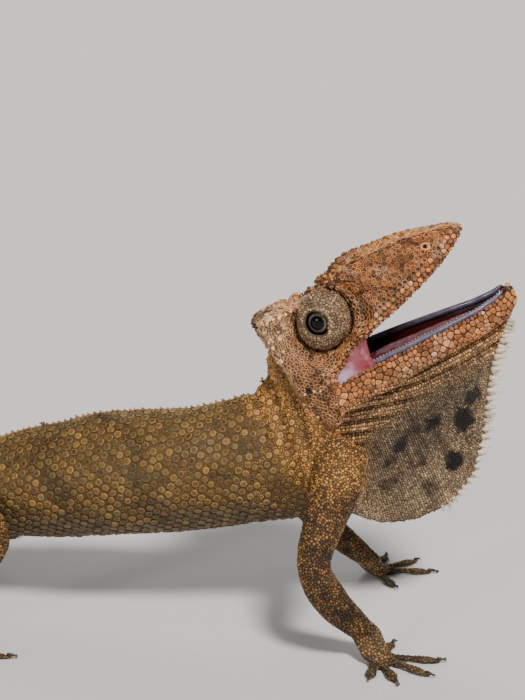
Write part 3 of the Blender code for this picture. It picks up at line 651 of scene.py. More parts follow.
backPlan = {"side": [(22, 0), (24.2, 0), (30, 0.3), (40, 1.2), (50, 2.8), (62, 5.0), (76, 7.8), (90, 10.9),
                     (103, 13.6), (113, 15.8), (121, 17.6), (134, 19.2), (146, 20.4), (159, 20.2), (176, 18.6)],
            "step": 1.45, "nape": 1.05, "tail": 0.5, "width": 0.6, "colour": (122, 90, 54)}


def inZones(*names):
    return np.isin(skin["zone"], [zoneOf[n] for n in names])


def softly(rounds, *names):  # 1 in these zones and 0 outside, with soft borders
    return spread(inZones(*names).astype(float), skin["edges"], rounds)


def eyeRing(points, side):  # distance from the eye's axis, how far out of the head, and what is on that side
    away = points - eyeCentre(side)
    out = away @ outwardOf(side)
    near = skin["part"]["head"] & (np.abs(out) < 9) & (points[:, 1] * side > 0)
    return np.sqrt(np.maximum((away ** 2).sum(1) - out ** 2, 0)), out, near


def levelled(points, edges):  # takes down what is left of the crest, which has its own piece
    beside = np.abs(points[:, 1] - profile(backPlan["side"], -points[:, 0]))
    first, last = -126, -25  # from the hips to the nape
    trunk = inZones("back", "flank", "neck", "tail") & (points[:, 0] < last)
    at = np.arange(float(first), last, 2.0)
    tops = []
    for x in at:  # the height of the back beside the crest, left out on the belly
        near = points[trunk & (np.abs(points[:, 0] - x) < 2) & (beside > 1.4) & (beside < 2.7), 2]
        tops.append(np.median(near[near > (near.min() + near.max()) / 2]))
    limit = np.interp(points[:, 0], at, tops) + foldPlan["crestOver"]
    high = trunk & (beside < 1.6) & (points[:, 0] > first) & (points[:, 2] > limit)
    print("crest stumps taken down:", high.sum(), "points")
    points = points.copy()
    points[high, 2] = limit[high]
    return ironed(points, edges, np.clip(spread(high.astype(float), edges, 4) * 4, 0, 1), 16)


def throatBow():  # how far down the throat, on lines that sag towards the neck
    return skin["fall"] + 0.014 * np.clip(20 - skin["p"], 0, 40) ** 2


def foldSkin():
    edges = skin["edges"]
    points = levelled(skin["points"], edges)
    normals = vertexNormals(points, skin["tris"])
    lift = np.zeros(len(points))
    throat = softly(12, "throat", "neck")
    bow = throatBow()
    wave = np.sin(bow * 1.75 + 1.2 * murmur(points, 9, 4))
    skin["fold"] = np.sign(wave) * np.abs(wave) ** 0.75 * throat * smoothStep(skin["fall"], 5.5, 8.5) \
        * smoothStep(skin["p"], -9, 2)
    lift += foldPlan["throat"] * skin["fold"]
    neck = softly(12, "neck") * smoothStep(-skin["p"], -4, 5)
    ripple = np.sin((points[:, 0] * 0.85 + points[:, 2] * 0.3) * 1.5 + 1.6 * murmur(points, 8, 5))
    lift += foldPlan["neck"] * neck * ripple
    skin["fold"] = skin["fold"] + 0.8 * neck * ripple
    body = softly(10, "flank", "back", "belly")
    sag = np.sin(points[:, 2] * 0.55 + points[:, 0] * 0.12 + 1.5 * murmur(points, 15, 22))
    lift += body * (foldPlan["flank"] * layered(points, 17, 21) + foldPlan["flankWave"] * sag)
    lift += foldPlan["dewlap"] * softly(8, "dewlap") * np.sin(skin["step"] * 12 + 0.8 * murmur(points, 12, 6))
    lift += foldPlan["cheek"] * softly(6, "temple") * murmur(points, 3.2, 11)
    for side in (-1, 1):
        ring, out, near = eyeRing(points, side)
        lift += np.where(near, sum(h * bell(ring, place, width) for place, width, h in foldPlan["rings"]), 0)
        outward = outwardOf(side)
        away = points - eyeCentre(side)
        radial = away - outward * (away @ outward)[:, None]
        # nothing of the cheek stands in front of the turret
        limit = foldPlan["cheekOut"] + 0.5 * np.clip(ring - 7.2, 0, 6)
        over = near * np.maximum(out - limit, 0) * (1 - smoothStep(ring, 9, 12))
        over = over * smoothStep(skin["upperFall"], 1, 4)
        points = points - outward * over[:, None]
        wall = near & (ring > 1.5) & (out - over > -0.6)
        rise = unit(radial) @ unit(np.array((0, 0, 1.0)) - outward * outward[2])
        want = foldPlan["turret"] + 0.4 * rise ** 2 + 0.7 * np.clip(-rise, 0, 1)
        points = points + unit(radial) * np.where(wall, np.maximum(want - ring, 0) * 0.9, 0)[:, None]
    lift += foldPlan["limb"] * softly(8, "limb") * murmur(points, 2.4, 9)
    lift -= skinPlan["coatDepth"] + skinPlan["swell"] * 0.5
    points = points + normals * lift[:, None]
    points[:, 2] = np.maximum(points[:, 2], foldPlan["ground"])
    skin["points"] = points
    skin["normals"] = vertexNormals(points, skin["tris"])


foldSkin()


# colour of each zone, and of its scales the spacing (0 for none), stretch along their lie, height,
# pit (a raised rim that touches its neighbours round a sunk middle), core (how dark that middle is,
# painted shade) and tone (how much the scales differ)
hideKeys = ("colour", "spacing", "stretch", "height", "pit", "core", "tone")
hidePlan = {
    # the mouth's dark red: its flesh darkened as painted shade inside the mouth
    "mouth": ((58, 13, 14), 0.0, 1.0, 0.2, 0.0, 0.0, 0.2),
    "snout": ((196, 128, 74), 1.08, 1.2, 0.36, 0.95, 0.95, 0.36),
    "crown": ((212, 148, 88), 0.95, 1.9, 0.36, 0.3, 0.4, 0.46),
    "temple": ((224, 160, 104), 0.86, 1.1, 0.34, 0.7, 0.9, 0.42),
    "casque": ((222, 176, 130), 0.92, 1.1, 0.5, 0.5, 0.65, 0.6),
    "lip": ((190, 120, 68), 1.1, 1.3, 0.3, 0.8, 0.85, 0.22),
    "jaw": ((180, 114, 64), 1.3, 1.35, 0.36, 0.0, 0.2, 0.18),
    "throat": ((150, 113, 74), 0.62, 1.5, 0.22, 0.0, 0.0, 0.46),
    "dewlap": ((97, 80, 60), 0.5, 2.3, 0.13, 0.0, 0.0, 0.34),
    "neck": ((178, 127, 64), 0.82, 1.4, 0.28, 0.0, 0.2, 0.34),
    "flank": ((122, 92, 46), 0.8, 1.0, 0.2, 0.0, 0.0, 0.3),
    "back": ((128, 100, 58), 1.3, 1.3, 0.3, 0.0, 0.2, 0.3),
    "belly": ((112, 88, 50), 1.1, 1.1, 0.2, 0.0, 0.0, 0.25),
    "tail": ((124, 94, 52), 1.25, 1.5, 0.28, 0.0, 0.0, 0.3),
    "limb": ((100, 70, 34), 0.62, 1.4, 0.2, 0.0, 0.0, 0.68),
    "paw": ((112, 88, 56), 0.7, 1.1, 0.18, 0.0, 0.0, 0.4),
}
hidePlan = {name: dict(zip(hideKeys, row)) for name, row in hidePlan.items()}
# under and forearm are painted shade, the creases painted shade with painted light on the fold ridges, and rim
# partly painted light
shadePlan = {"mottle": 0.3, "blotch": 0.14, "band": 0.36, "under": 0.3, "creaseShade": 0.42, "shoulder": 0.4,
             "forearm": 0.32, "nape": 0.3, "rim": 0.95, "root": 0.12, "streak": 0.36}
markPlan = {  # marks on the skin: colour and strength; those under the casque, in the grooves round the eye, in the ear and in the nostril are painted shade
    "freckle": ((98, 48, 21), 0.7), "glow": ((240, 188, 142), 0.5), "crust": ((70, 46, 30), 0.7),
    "tip": ((62, 40, 26), 0.75), "casqueUnderShade": ((84, 54, 34), 0.6), "patch": ((44, 28, 14), 0.62),
    "fleck": ((150, 98, 46), 0.35), "spot": ((18, 11, 7), 1.0), "grooveShade": ((60, 34, 20), 0.36),
    "ear": ((64, 36, 22), 1.0), "nostrilShade": ((22, 10, 7), 1.0),
}


def perZone(key):
    return np.array([hidePlan[name][key] for name in zoneNames], float)[skin["zone"]]


def tinted(colour, target, share):
    return colour * (1 - share[:, None]) + np.asarray(target) * share[:, None]


def marked(colour, mark, share):
    tone, strength = markPlan[mark]
    return tinted(colour, lin(*tone), strength * share)


def nearTip(points):  # 1 at the top of the casque
    return 1 - smoothStep(np.linalg.norm(points - headPoint(-2, 23.6, 0), axis=1), 2.5, 7)


def paintSkin():
    points, edges, tone = skin["points"], skin["edges"], shadePlan
    base = np.array([lin(*hidePlan[name]["colour"]) for name in zoneNames])[skin["zone"]]
    colour = spread(base, edges, 22, np.where(skin["zone"] != zoneOf["mouth"], 0.5, 0.0))
    mottle, blotch = layered(points, 4.6, 1), layered(points, 13.0, 2)
    limbish = softly(6, "limb", "paw")
    colour = colour * (1 + tone["mottle"] * mottle + tone["blotch"] * blotch)[:, None]
    face = softly(6, "snout", "crown", "temple", "casque", "lip", "jaw")
    colour = marked(colour, "freckle", smoothStep(layered(points, 2.3, 31), 0.1, 0.55) * face)
    colour = marked(colour, "glow", smoothStep(layered(points, 3.4, 33), 0.12, 0.5) * face)
    colour = marked(colour, "crust", softly(5, "casque") * smoothStep(layered(points, 1.7, 35), -0.1, 0.25))
    colour = marked(colour, "tip", nearTip(points))
    # painted shade on the casque's underside, where it faces down
    casqueUnderShade = smoothStep(-(skin["normals"] @ headUp), -0.15, 0.5) * softly(4, "casque")
    colour = marked(colour, "casqueUnderShade", casqueUnderShade)
    colour = marked(colour, "patch", smoothStep(layered(points, 3.0, 3), 0.0, 0.35) * limbish)
    colour = marked(colour, "fleck", smoothStep(-layered(points, 2.6, 13), 0.15, 0.5) * limbish)
    along = points[:, 0] + 0.4 * points[:, 2] + 5 * blotch  # bands over the back and tail
    trunk = softly(8, "flank", "back", "tail")
    band = smoothStep(np.sin(along / 21 * 2 * math.pi), 0.25, 0.9) * trunk  # every 21 mm
    band = band * smoothStep(-points[:, 0], 34, 60)
    colour = colour * (1 - tone["band"] * band)[:, None]
    # painted shade on the trunk where it faces down
    under = smoothStep(-skin["normals"][:, 2], 0.0, 0.8) * spread(skin["trunk"].astype(float), edges, 3)
    colour = colour * (1 - tone["under"] * under)[:, None]
    colour = colour * (1 + tone["creaseShade"] * skin["fold"])[:, None]  # painted shade in the creases, painted light on the ridges of the folds
    high = limbish * smoothStep(points[:, 2], 36, 44)
    neck = lin(*hidePlan["neck"]["colour"]) * (1 + tone["mottle"] * mottle)[:, None]
    colour = tinted(colour, neck, tone["shoulder"] * high)
    # the forearms painted darker low down: painted shade
    low = limbish * (1 - smoothStep(points[:, 2], 12, 27)) * smoothStep(points[:, 2], 4, 9)
    low = low * (points[:, 0] > -60)  # the forearms
    colour = colour * (1 - tone["forearm"] * low)[:, None]
    nape = smoothStep(points[:, 2], 52, 62) * softly(4, "neck")
    colour = colour * (1 - tone["nape"] * nape)[:, None]
    fan = spread((inZones("dewlap", "throat") & skin["part"]["dewlap"]).astype(float), edges, 3)
    # lighter towards the fan's free edge: the edge's paler colour with painted light
    colour = colour * (1 + tone["rim"] * smoothStep(skin["share"], 0.4, 1.0) * fan)[:, None]
    colour = colour * (1 - tone["root"] * (1 - smoothStep(skin["share"], 0.15, 0.6)) * fan)[:, None]
    streak = 0
    for fineness, length, strength, seed in ((15, 5, 1.0, 7), (6, 3, 0.5, 17)):
        ways = np.stack([skin["step"] * fineness, skin["share"] * length, points[:, 1] * 0.1], 1)
        streak = streak + strength * murmur(ways, 1.0, seed)
    colour = colour * (1 + tone["streak"] * streak * fan)[:, None]
    ragged = 0.34 * murmur(points, 1.7, 8) + 0.22 * murmur(points, 0.8, 9)
    for x, z, wide, tall, lean, strength in dewlapPlan["spots"]:
        c, s = math.cos(math.radians(lean)), math.sin(math.radians(lean))
        dx, dz = points[:, 0] - x, points[:, 2] - z
        gap = np.sqrt(((dx * c + dz * s) / wide) ** 2 + ((dz * c - dx * s) / tall) ** 2) + ragged
        inside = (1 - smoothStep(gap, 0.86, 1.14)) * strength * skin["part"]["dewlap"]
        colour = marked(colour, "spot", inside)
    skin["open"] = np.ones(len(points))  # 0 where no scales grow
    for side in (-1, 1):  # painted shade in the grooves round the eye's turret, and painted shade for the ear opening and the nostril, which are not cut into the skin
        ring, _, near = eyeRing(points, side)
        grooveShade = bell(ring, 7.0, 0.7) + 0.5 * bell(ring, 9.5, 0.5)
        colour = marked(colour, "grooveShade", grooveShade * near)
        for mark, (x, z, y), sizes, clear in (("ear", skinPlan["ear"], (0.9, 1.7, 1.3), 0.95),
                                              ("nostrilShade", nostrilPlan["place"], (1, 1, 1), 1.0)):
            gap = np.linalg.norm((points - headPoint(x, z, y * side)) / sizes, axis=1)
            colour = marked(colour, mark, 1 - smoothStep(gap, 0.7, 1.1))
            skin["open"] *= gap > clear
    skin["colour"] = np.clip(colour, 0.002, 0.9)


paintSkin()


def layScales():  # the way in which scales point, and the rows that they keep to
    normals, points = skin["normals"], skin["points"]
    lie = np.tile(np.array((-1.0, 0, 0)), (len(points), 1))
    lie[inZones("snout", "crown", "temple", "casque", "lip")] = -headAlong
    lie[inZones("jaw", "throat")] = -jawAlong
    fan = inZones("dewlap")
    lie[fan] = upright(skin["down"][fan])
    lie[inZones("neck")] = (-0.3, 0, -1.0)
    lie[inZones("limb", "paw")] = (0.15, 0, -1)
    bend = smoothStep(-points[:, 0], 175, 232)
    tail = inZones("tail")
    lie[tail] = np.stack([-np.ones(tail.sum()), -2.6 * bend[tail], np.zeros(tail.sum())], 1)
    lie = spread(lie, skin["edges"], 10)
    lie -= normals * (lie * normals).sum(1)[:, None]
    skin["lie"] = unit(lie)
    for key in hideKeys[1:]:
        skin[key] = spread(perZone(key), skin["edges"], 6, np.where(inZones("mouth"), 0.0, 0.5))
    skin["spacing"] = skin["spacing"] * skin["open"]
    rows, rowLength = np.zeros(len(points)), np.zeros(len(points))
    rowWay = np.tile(headUp, (len(points), 1))
    rows[fan] = skin["step"][fan] * dewlapPlan["rowsPerStep"]
    rowLength[fan] = np.minimum(skin["pace"][fan] / dewlapPlan["rowsPerStep"], 0.9)
    rowWay[fan] = upright(skin["across"][fan])
    throat = inZones("throat")
    rows[throat] = (throatBow() / 0.72)[throat]
    rowLength[throat], rowWay[throat] = 0.6, -jawUp
    rows[tail] = points[tail, 0] / 1.3 * np.sqrt(1 + (2.6 * bend[tail]) ** 2)
    rowLength[tail] = np.where(points[tail, 0] > -185, 1.1, 0)
    rowWay[tail] = (1, 0, 0)
    skin["rows"], skin["rowLength"], skin["rowWay"] = rows, rowLength, rowWay


layScales()
print("markings and lie of the scales set")


coatPlan = {"crowding": 5.0, "closeness": 0.8, "relaxing": 4,  # places tried, how near they may stand, rounds
            "perPiece": 185000, "patch": 0.0015,  # triangles in a piece, and a scale's patch of the map
            # skinShade: the bare skin between the scales is painted darker, painted shade in the gaps
            "palest": 0.78, "lowest": 0.02, "skinShade": 0.34,
            "tilt": 0.07, "warm": 0.07,  # how much scales differ in tilt and in hue
            "discs": (-7.0, -113.0), "disc": 2.16, "discWide": 1.0, "lean": 19, "between": 0.58,
            "discHeight": 0.3, "discTone": 0.24, "discCore": (0.45, 0.9), "discTint": (1.05, 1.05, 1.0),
            "betweenHeight": 0.15, "jitter": 0.16}


def treeOf(surface):
    surface["tree"] = BVHTree.FromPolygons(surface["points"].tolist(), surface["tris"].tolist())


def settle(surface, places):
    found = [surface["tree"].find_nearest(Vector(p)) for p in places]
    return np.array([f[0] for f in found]), np.array([f[2] for f in found])


def readAt(surface, key, places, index):
    tri = surface["tris"][index]
    a, b, c = (surface["points"][tri[:, k]] for k in range(3))
    e1, e2, d = b - a, c - a, places - a
    d11, d12, d22 = (e1 * e1).sum(1), (e1 * e2).sum(1), (e2 * e2).sum(1)
    dd1, dd2 = (d * e1).sum(1), (d * e2).sum(1)
    under = np.maximum(d11 * d22 - d12 ** 2, 1e-12)
    s = np.clip((d22 * dd1 - d12 * dd2) / under, 0, 1)
    t = np.clip((d11 * dd2 - d12 * dd1) / under, 0, 1)
    share = np.stack([1 - s - t, s, t], 1)
    values = surface[key][tri]
    return (values * share.reshape(share.shape + (1,) * (values.ndim - 2))).sum(1)


def kdOf(places):
    tree = KDTree(len(places))
    for n, place in enumerate(places):
        tree.insert(place, n)
    tree.balance()
    return tree


def scatter(surface, spacing, seed, avoid=None, avoidReach=None):  # random places that keep their distance
    rng = np.random.default_rng(seed)
    tri = surface["tris"]
    a, b, c = (surface["points"][tri[:, k]] for k in range(3))
    area = np.linalg.norm(np.cross(b - a, c - a), axis=1) / 2
    size = spacing[tri]
    room = np.where((size > 0.05).all(1), area / np.maximum(size.mean(1), 0.3) ** 2, 0)
    count = int(room.sum() * coatPlan["crowding"])
    index = rng.choice(len(tri), count, p=room / room.sum())
    r1, r2 = np.sqrt(rng.random(count)), rng.random(count)
    shares = (1 - r1, r1 * (1 - r2), r1 * r2)
    places = sum(corner[index] * share[:, None] for corner, share in zip((a, b, c), shares))
    if avoid is not None:
        near = kdOf(avoid)
        clear = []
        for place in places:
            _, n, gap = near.find(place)
            clear.append(gap > avoidReach[n])
        clear = np.array(clear)
        places, index = places[clear], index[clear]
    reach = size.mean(1)[index] * coatPlan["closeness"]
    tree = kdOf(places)
    gone = bytearray(len(places))
    kept = []
    for n in range(len(places)):
        if gone[n]:
            continue
        kept.append(n)
        for _, other, _ in tree.find_range(places[n], reach[n]):
            gone[other] = 1
    return places[kept], index[kept]


def neighbours(places, count):
    tree = kdOf(places)
    table = np.empty((len(places), count), int)
    for n, place in enumerate(places):
        table[n] = [found[1] for found in tree.find_n(place, count + 1)][1:]
    return table


def relax(surface, places, index, rounds, fixed=0):
    for _ in range(rounds):
        size = readAt(surface, "spacing", places, index)
        stretch = np.maximum(readAt(surface, "stretch", places, index), 1)
        lie = unit(readAt(surface, "lie", places, index))
        near = neighbours(places, 7)
        gap = places[:, None] - places[near]
        ahead = (gap * lie[:, None]).sum(-1) * (1 - 1 / np.sqrt(stretch))[:, None]
        flat = gap - lie[:, None] * ahead[..., None]
        away = np.linalg.norm(flat, axis=-1) * (stretch[:, None] ** 0.25)
        want = 0.5 * (size[:, None] + size[near])
        push = np.clip(1 - away / np.maximum(want, 0.1), 0, 1)
        move = (unit(gap) * (push * want * 0.34)[..., None]).sum(1)
        row, length = readAt(surface, "rows", places, index), readAt(surface, "rowLength", places, index)
        move += readAt(surface, "rowWay", places, index) * ((np.round(row) - row) * length)[:, None]
        move[:fixed] = 0
        places, index = settle(surface, places + move)
    return places, index


# each scale's edge, half way to its neighbours
def outlines(places, lie, side, weight, near, some, corners, cap):
    gap = places[near[some]] - places[some][:, None]
    x, y = ((gap * way[some][:, None]).sum(-1) for way in (lie, side))
    away = np.hypot(x, y)
    share = weight[some][:, None] / (weight[some][:, None] + weight[near[some]])
    turns = np.arange(corners) * 2 * math.pi / corners
    cosine = (x[:, None] * np.cos(turns)[None, :, None] + y[:, None] * np.sin(turns)[None, :, None]) \
        / np.maximum(away, 1e-6)[:, None]
    reach = np.where(cosine > 0.15, away[:, None] * share[:, None] / np.maximum(cosine, 0.15), 1e9).min(-1)
    return np.clip(reach, 0.15 * weight[some][:, None], cap[some][:, None]), turns


coatShapes = {  # corners of each outline, and its rings as (reach, height, edge tone) without and with a pit; low edge tones paint shade at the foot and in the sunk middle, high ones highlight on the rim
    "plates": {"corners": 12, "fill": 0.97, "rings": [((1.0, -0.35, 0.0), (1.0, 0.35, 0.3)),
                                                     ((0.82, 0.82, 0.95), (0.84, 1.0, 1.0)),
                                                     ((0.6, 1.0, 0.85), (0.7, 0.3, 0.0))],
               "middle": ((1.02, 0.8), (0.22, 0.0))},
    "granules": {"corners": 7, "fill": 0.95, "rings": [((1.0, -0.25, 0.12), (1.0, -0.25, 0.12)),
                                                       ((0.77, 0.72, 0.8), (0.77, 0.72, 0.8))],
                 "middle": ((1.0, 1.0), (1.0, 1.0))},
}


def growCoat(tag, surface, places, index, weight, cap, looks, isPlate, seed, tints=None):
    rng = np.random.default_rng(seed)
    normals = unit(readAt(surface, "normals", places, index))
    lie = readAt(surface, "lie", places, index)
    lie = unit(lie - normals * (lie * normals).sum(1)[:, None])
    side = np.cross(normals, lie)
    near = neighbours(places, 12)
    colour, uv = readAt(surface, "colour", places, index), readAt(surface, "uv", places, index)
    if tints is not None:
        colour = colour * tints
    for kind, shape in coatShapes.items():
        mine = np.flatnonzero(isPlate if kind == "plates" else ~isPlate)
        if not len(mine):
            continue
        corners, rings = shape["corners"], shape["rings"]
        faces = ringFaces(len(rings), corners)
        limit = coatPlan["perPiece"] // sum(len(f) - 2 for f in faces)
        for made, start in enumerate(range(0, len(mine), limit)):
            some = mine[start:start + limit]
            n = len(some)
            reach, turns = outlines(places, lie, side, weight, near, some, corners, cap)
            tall = looks["height"][some] * rng.uniform(0.75, 1.25, n)
            tilt = rng.normal(0, coatPlan["tilt"], n)
            shade = np.clip(np.exp(looks["tone"][some] * rng.normal(0, 1, n)), 0.4, 2.2)
            warm = 1 + rng.normal(0, coatPlan["warm"], (n, 1)) * np.array((1.0, 0.1, -0.8))
            pit, core = np.clip(looks["pit"][some], 0, 1), np.clip(looks["core"][some], 0, 1)
            columns, edges, patches = [], [], []
            for level, (plain, pitted) in enumerate(rings):
                grow, lift, tone = (a + (b - a) * pit for a, b in zip(plain, pitted))
                # a cored plate's inner ring is lowered and painted darker: painted shade in its sunk middle
                if kind == "plates" and level == 2:
                    lift, tone = lift - 0.3 * core * (1 - pit), tone * (1 - 0.75 * core)
                radius = reach * (shape["fill"] + 0.05 * pit[:, None]) * grow[:, None]
                px, py = radius * np.cos(turns), radius * np.sin(turns)
                z = (tall * lift)[:, None] + (tilt[:, None] * px if level else 0)
                columns.append(places[some][:, None] + lie[some][:, None] * px[..., None]
                               + side[some][:, None] * py[..., None] + normals[some][:, None] * z[..., None])
                edges.append(np.repeat(tone[:, None], corners, 1))
                patches.append(uv[some][:, None] + coatPlan["patch"] * grow[:, None, None]
                               * np.stack([np.cos(turns), np.sin(turns)], 1)[None])
            lift, tone = (a + (b - a) * pit for a, b in zip(*shape["middle"]))
            # the middle is lowered and painted darker by the core: painted shade
            lift, tone = lift - 0.35 * core * (1 - pit), tone * (1 - 0.85 * core)
            columns.append((places[some] + normals[some] * (tall * lift)[:, None])[:, None])
            edges.append(tone[:, None])
            patches.append(uv[some][:, None])
            block = np.concatenate(columns, 1)
            block[..., 2] = np.maximum(block[..., 2], coatPlan["lowest"])
            label = f"{tag}_{kind}_{made}"
            mesh, allLoops = repeatedMesh(label, block, faces)
            hide = colour[some] * shade[:, None] * warm
            hide /= np.maximum(hide.max(1, keepdims=True) / coatPlan["palest"], 1)  # keeps a pale scale's hue
            setAttribute(mesh, "hide", np.repeat(hide, block.shape[1], 0))
            setAttribute(mesh, "edge", np.concatenate(edges, 1).ravel())
            layer = mesh.uv_layers.new(name="OFBake")
            flat = np.concatenate(patches, 1).reshape(-1, 2)[allLoops]
            layer.data.foreach_set("uv", flat.astype(np.float32).ravel())
            addObject(label, mesh, [scaleHide])
            print(label, n, "scales")


def atlas(surface, parts):  # a patch of the map for each part, unrolled round its own long axis
    points = surface["points"]
    uv = np.zeros((len(points), 2))
    cells = math.ceil(math.sqrt(len(parts)))
    for number, member in enumerate(parts):
        own = points[member]
        centre = own.mean(0)
        _, _, axes = np.linalg.svd(own[:: max(1, len(own) // 3000)] - centre, full_matrices=False)
        local = (own - centre) @ axes.T
        along = (local[:, 0] - local[:, 0].min()) / max(np.ptp(local[:, 0]), 1e-6)
        turn = np.arctan2(local[:, 2], local[:, 1]) / (2 * math.pi) + 0.5
        cell = np.array((number % cells, number // cells))
        uv[member] = (cell + 0.04 + 0.92 * np.stack([turn, along], 1)) / cells
    surface["uv"] = uv


treeOf(skin)
atlas(skin, [skin["part"][name] for name in skinPlan["nodes"]])


def onFlank(zone):
    return np.isin(zone, [zoneOf[name] for name in ("flank", "back", "belly")])


def flankDiscs():  # round flat scales in slanting rows round the trunk, from the neck to the hips
    turns = np.radians(np.arange(-84, 85, 3))
    own = skin["points"][skin["part"]["torso"] | skin["part"]["neck"]]
    pitch, lean = coatPlan["disc"], math.radians(coatPlan["lean"])
    grid = np.stack(np.meshgrid(np.arange(-50, 50), np.arange(-50, 50)), -1).reshape(-1, 2).astype(float)
    grid = np.stack([(grid[:, 0] + 0.5 * (grid[:, 1] % 2)) * pitch, grid[:, 1] * pitch * 0.866], 1)
    grid = grid @ np.array(((math.cos(lean), math.sin(lean)), (-math.sin(lean), math.cos(lean)))) + (-64, 0)
    found = []
    for x in np.arange(*coatPlan["discs"], -0.5):
        slab = own[np.abs(own[:, 0] - x) < 1.2]
        column = grid[(grid[:, 0] <= x + 0.25) & (grid[:, 0] > x - 0.25)]
        if len(slab) < 20 or not len(column):
            continue
        middle = Vector((x, *((slab[:, k].min() + slab[:, k].max()) / 2 for k in (1, 2))))
        for side in (-1, 1):
            ways = [Vector((0, side * math.cos(turn), math.sin(turn))) for turn in turns]
            hits = [skin["tree"].ray_cast(middle, way, 60)[0] for way in ways]
            hits = np.array([hit for hit in hits if hit])
            run = np.concatenate([[0], np.cumsum(np.linalg.norm(np.diff(hits, axis=0), axis=1))])
            run -= run[len(run) // 2]
            found += [[gx] + [np.interp(gy, run, hits[:, k]) for k in (1, 2)] for gx, gy in column
                      if run[0] < gy < run[-1]]
    places, index = settle(skin, np.array(found))
    zone = skin["zone"][skin["tris"][index, 0]]
    fits = onFlank(zone)
    fits |= (zone == zoneOf["neck"]) & (places[:, 2] < 57) & (places[:, 0] < -8)
    print("discs:", fits.sum())
    return places[fits], index[fits]


lipRows = {  # rows along the lips: mm from the lip, length along it, first place, size, tint
    "jaw": [(0.35, 1.0, 0.4, 0.85, (0.8, 0.72, 0.7)), (1.4, 2.6, 0.2, 1.7, (1.0, 0.96, 0.92)),
            (2.75, 2.9, 1.2, 1.8, (0.9, 0.85, 0.82)), (4.05, 2.3, 0.3, 1.5, (1.2, 1.3, 1.45)),
            (5.15, 1.7, 1.0, 1.2, (0.8, 0.76, 0.74))],
    "lip": [(0.35, 1.1, 0.6, 0.8, (0.8, 0.72, 0.68)), (1.35, 1.35, 1.2, 1.1, (0.95, 0.88, 0.82)),
            (2.5, 1.3, 0.5, 1.05, (1.0, 1.0, 1.0))],
    "looks": {"pit": 0.12, "core": 0.3, "tone": 0.38, "height": 0.36},
}


def lipPlates():
    places, sizes, tints = [], [], []
    rng = np.random.default_rng(14)
    for kind, point, lip, width, last in (("jaw", jawPoint, "jawLip", "jawWidth", 43.4),
                                          ("lip", headPoint, "lipHeight", "lipWidth", 44.2)):
        for away, pitch, first, size, tint in lipRows[kind]:
            along = np.arange(first, last, pitch)
            along = along + rng.uniform(-0.14, 0.14, len(along)) * pitch
            height = profile(skinPlan[lip], along) + (away if kind == "lip" else -away)
            for side in (-1, 1):
                places.append(point(along, height, side * (profile(skinPlan[width], along) + 0.3)))
                sizes.append(np.full(len(along), size))
                tints.append(np.tile(tint, (len(along), 1)))
    aimed, sizes, tints = np.concatenate(places), np.concatenate(sizes), np.concatenate(tints)
    places, index = settle(skin, aimed)
    zone = skin["zone"][skin["tris"][index, 0]]
    fits = np.isin(zone, [zoneOf["jaw"], zoneOf["lip"], zoneOf["throat"], zoneOf["snout"], zoneOf["temple"]])
    fits &= np.linalg.norm(places - aimed, axis=1) < 2.2
    print("lip plates:", fits.sum(), "of", len(fits))
    return places[fits], index[fits], sizes[fits], tints[fits]


def dressSkin():  # placed scales first, then the small ones between them and everywhere else
    discs, discIndex = flankDiscs()
    plates, plateIndex, plateSize, plateTint = lipPlates()
    rng = np.random.default_rng(10)
    discs, discIndex = settle(skin, discs + rng.normal(0, coatPlan["jitter"], discs.shape))
    wide = coatPlan["discWide"] * (0.58 + 0.42 * smoothStep(-discs[:, 0], 8, 32))  # smaller on the neck
    wide = wide * rng.uniform(0.9, 1.06, len(discs))
    fixed = np.concatenate([discs, plates])
    fixedIndex = np.concatenate([discIndex, plateIndex])
    reach = np.concatenate([wide + 0.16, plateSize * 0.62])
    flank = onFlank(skin["zone"]) | (inZones("neck") & (skin["points"][:, 0] < -8))
    skin["spacing"] = np.where(flank, coatPlan["between"], skin["spacing"])
    small, smallIndex = scatter(skin, skin["spacing"], 12, fixed, reach)
    places = np.concatenate([fixed, small])
    index = np.concatenate([fixedIndex, smallIndex])
    places, index = relax(skin, places, index, coatPlan["relaxing"], fixed=len(fixed))
    size = readAt(skin, "spacing", places, index)
    size[len(discs):len(fixed)] = plateSize
    isDisc = np.arange(len(places)) < len(discs)
    cap = size * 0.78
    cap[isDisc] = wide
    weight = np.where(isDisc, 6.0, size)
    looks = {key: readAt(skin, key, places, index) for key in ("height", "pit", "core", "tone")}
    between = onFlank(skin["zone"][skin["tris"][index, 0]])
    looks["height"] = np.where(between, coatPlan["betweenHeight"], looks["height"])
    looks["height"][isDisc] = coatPlan["discHeight"]
    looks["core"] = np.where(isDisc, rng.uniform(*coatPlan["discCore"], len(places)), looks["core"])
    looks["tone"] = np.where(isDisc, coatPlan["discTone"], looks["tone"])
    plate = slice(len(discs), len(fixed))
    for key, value in lipRows["looks"].items():
        looks[key][plate] = value
    tints = np.ones((len(places), 3))
    tints[isDisc] = coatPlan["discTint"]
    tints[plate] = plateTint
    isPlate = isDisc | (looks["core"] > 0.12)
    growCoat("hide", skin, places, index, weight, cap, looks, isPlate, 21, tints)
    print("coat of the body:", len(places), "scales")


dressSkin()


def finishSkin():
    mesh = skin["mesh"]
    putPoints(mesh, skin["points"])
    wet = skin["zone"] == zoneOf["mouth"]
    # the bare skin between the scales painted darker as shade in the gaps, more under the head's scales and
    # less on the trunk and fan; the mouth keeps its colour
    shade = coatPlan["skinShade"] * np.where(inZones("flank", "back", "belly", "dewlap"), 1.35, 1.0) \
        * np.where(inZones("snout", "temple", "casque", "lip", "crown", "jaw"), 0.55, 1.0)
    setAttribute(mesh, "hide", skin["colour"] * np.where(wet, 1.0, shade)[:, None])
    setAttribute(mesh, "edge", np.full(len(skin["points"]), 1.0))
    mesh.shade_smooth()
    addObject("skin", mesh, [bareHide, mouthFlesh], skinPlan["nodes"])
    starts = fetched(mesh.polygons, "loop_start", 1)[:, 0]
    first = fetched(mesh.loops, "vertex_index", 1)[starts, 0]
    mesh.polygons.foreach_set("material_index", wet[first].astype(np.int32))


finishSkin()
print("skin finished")


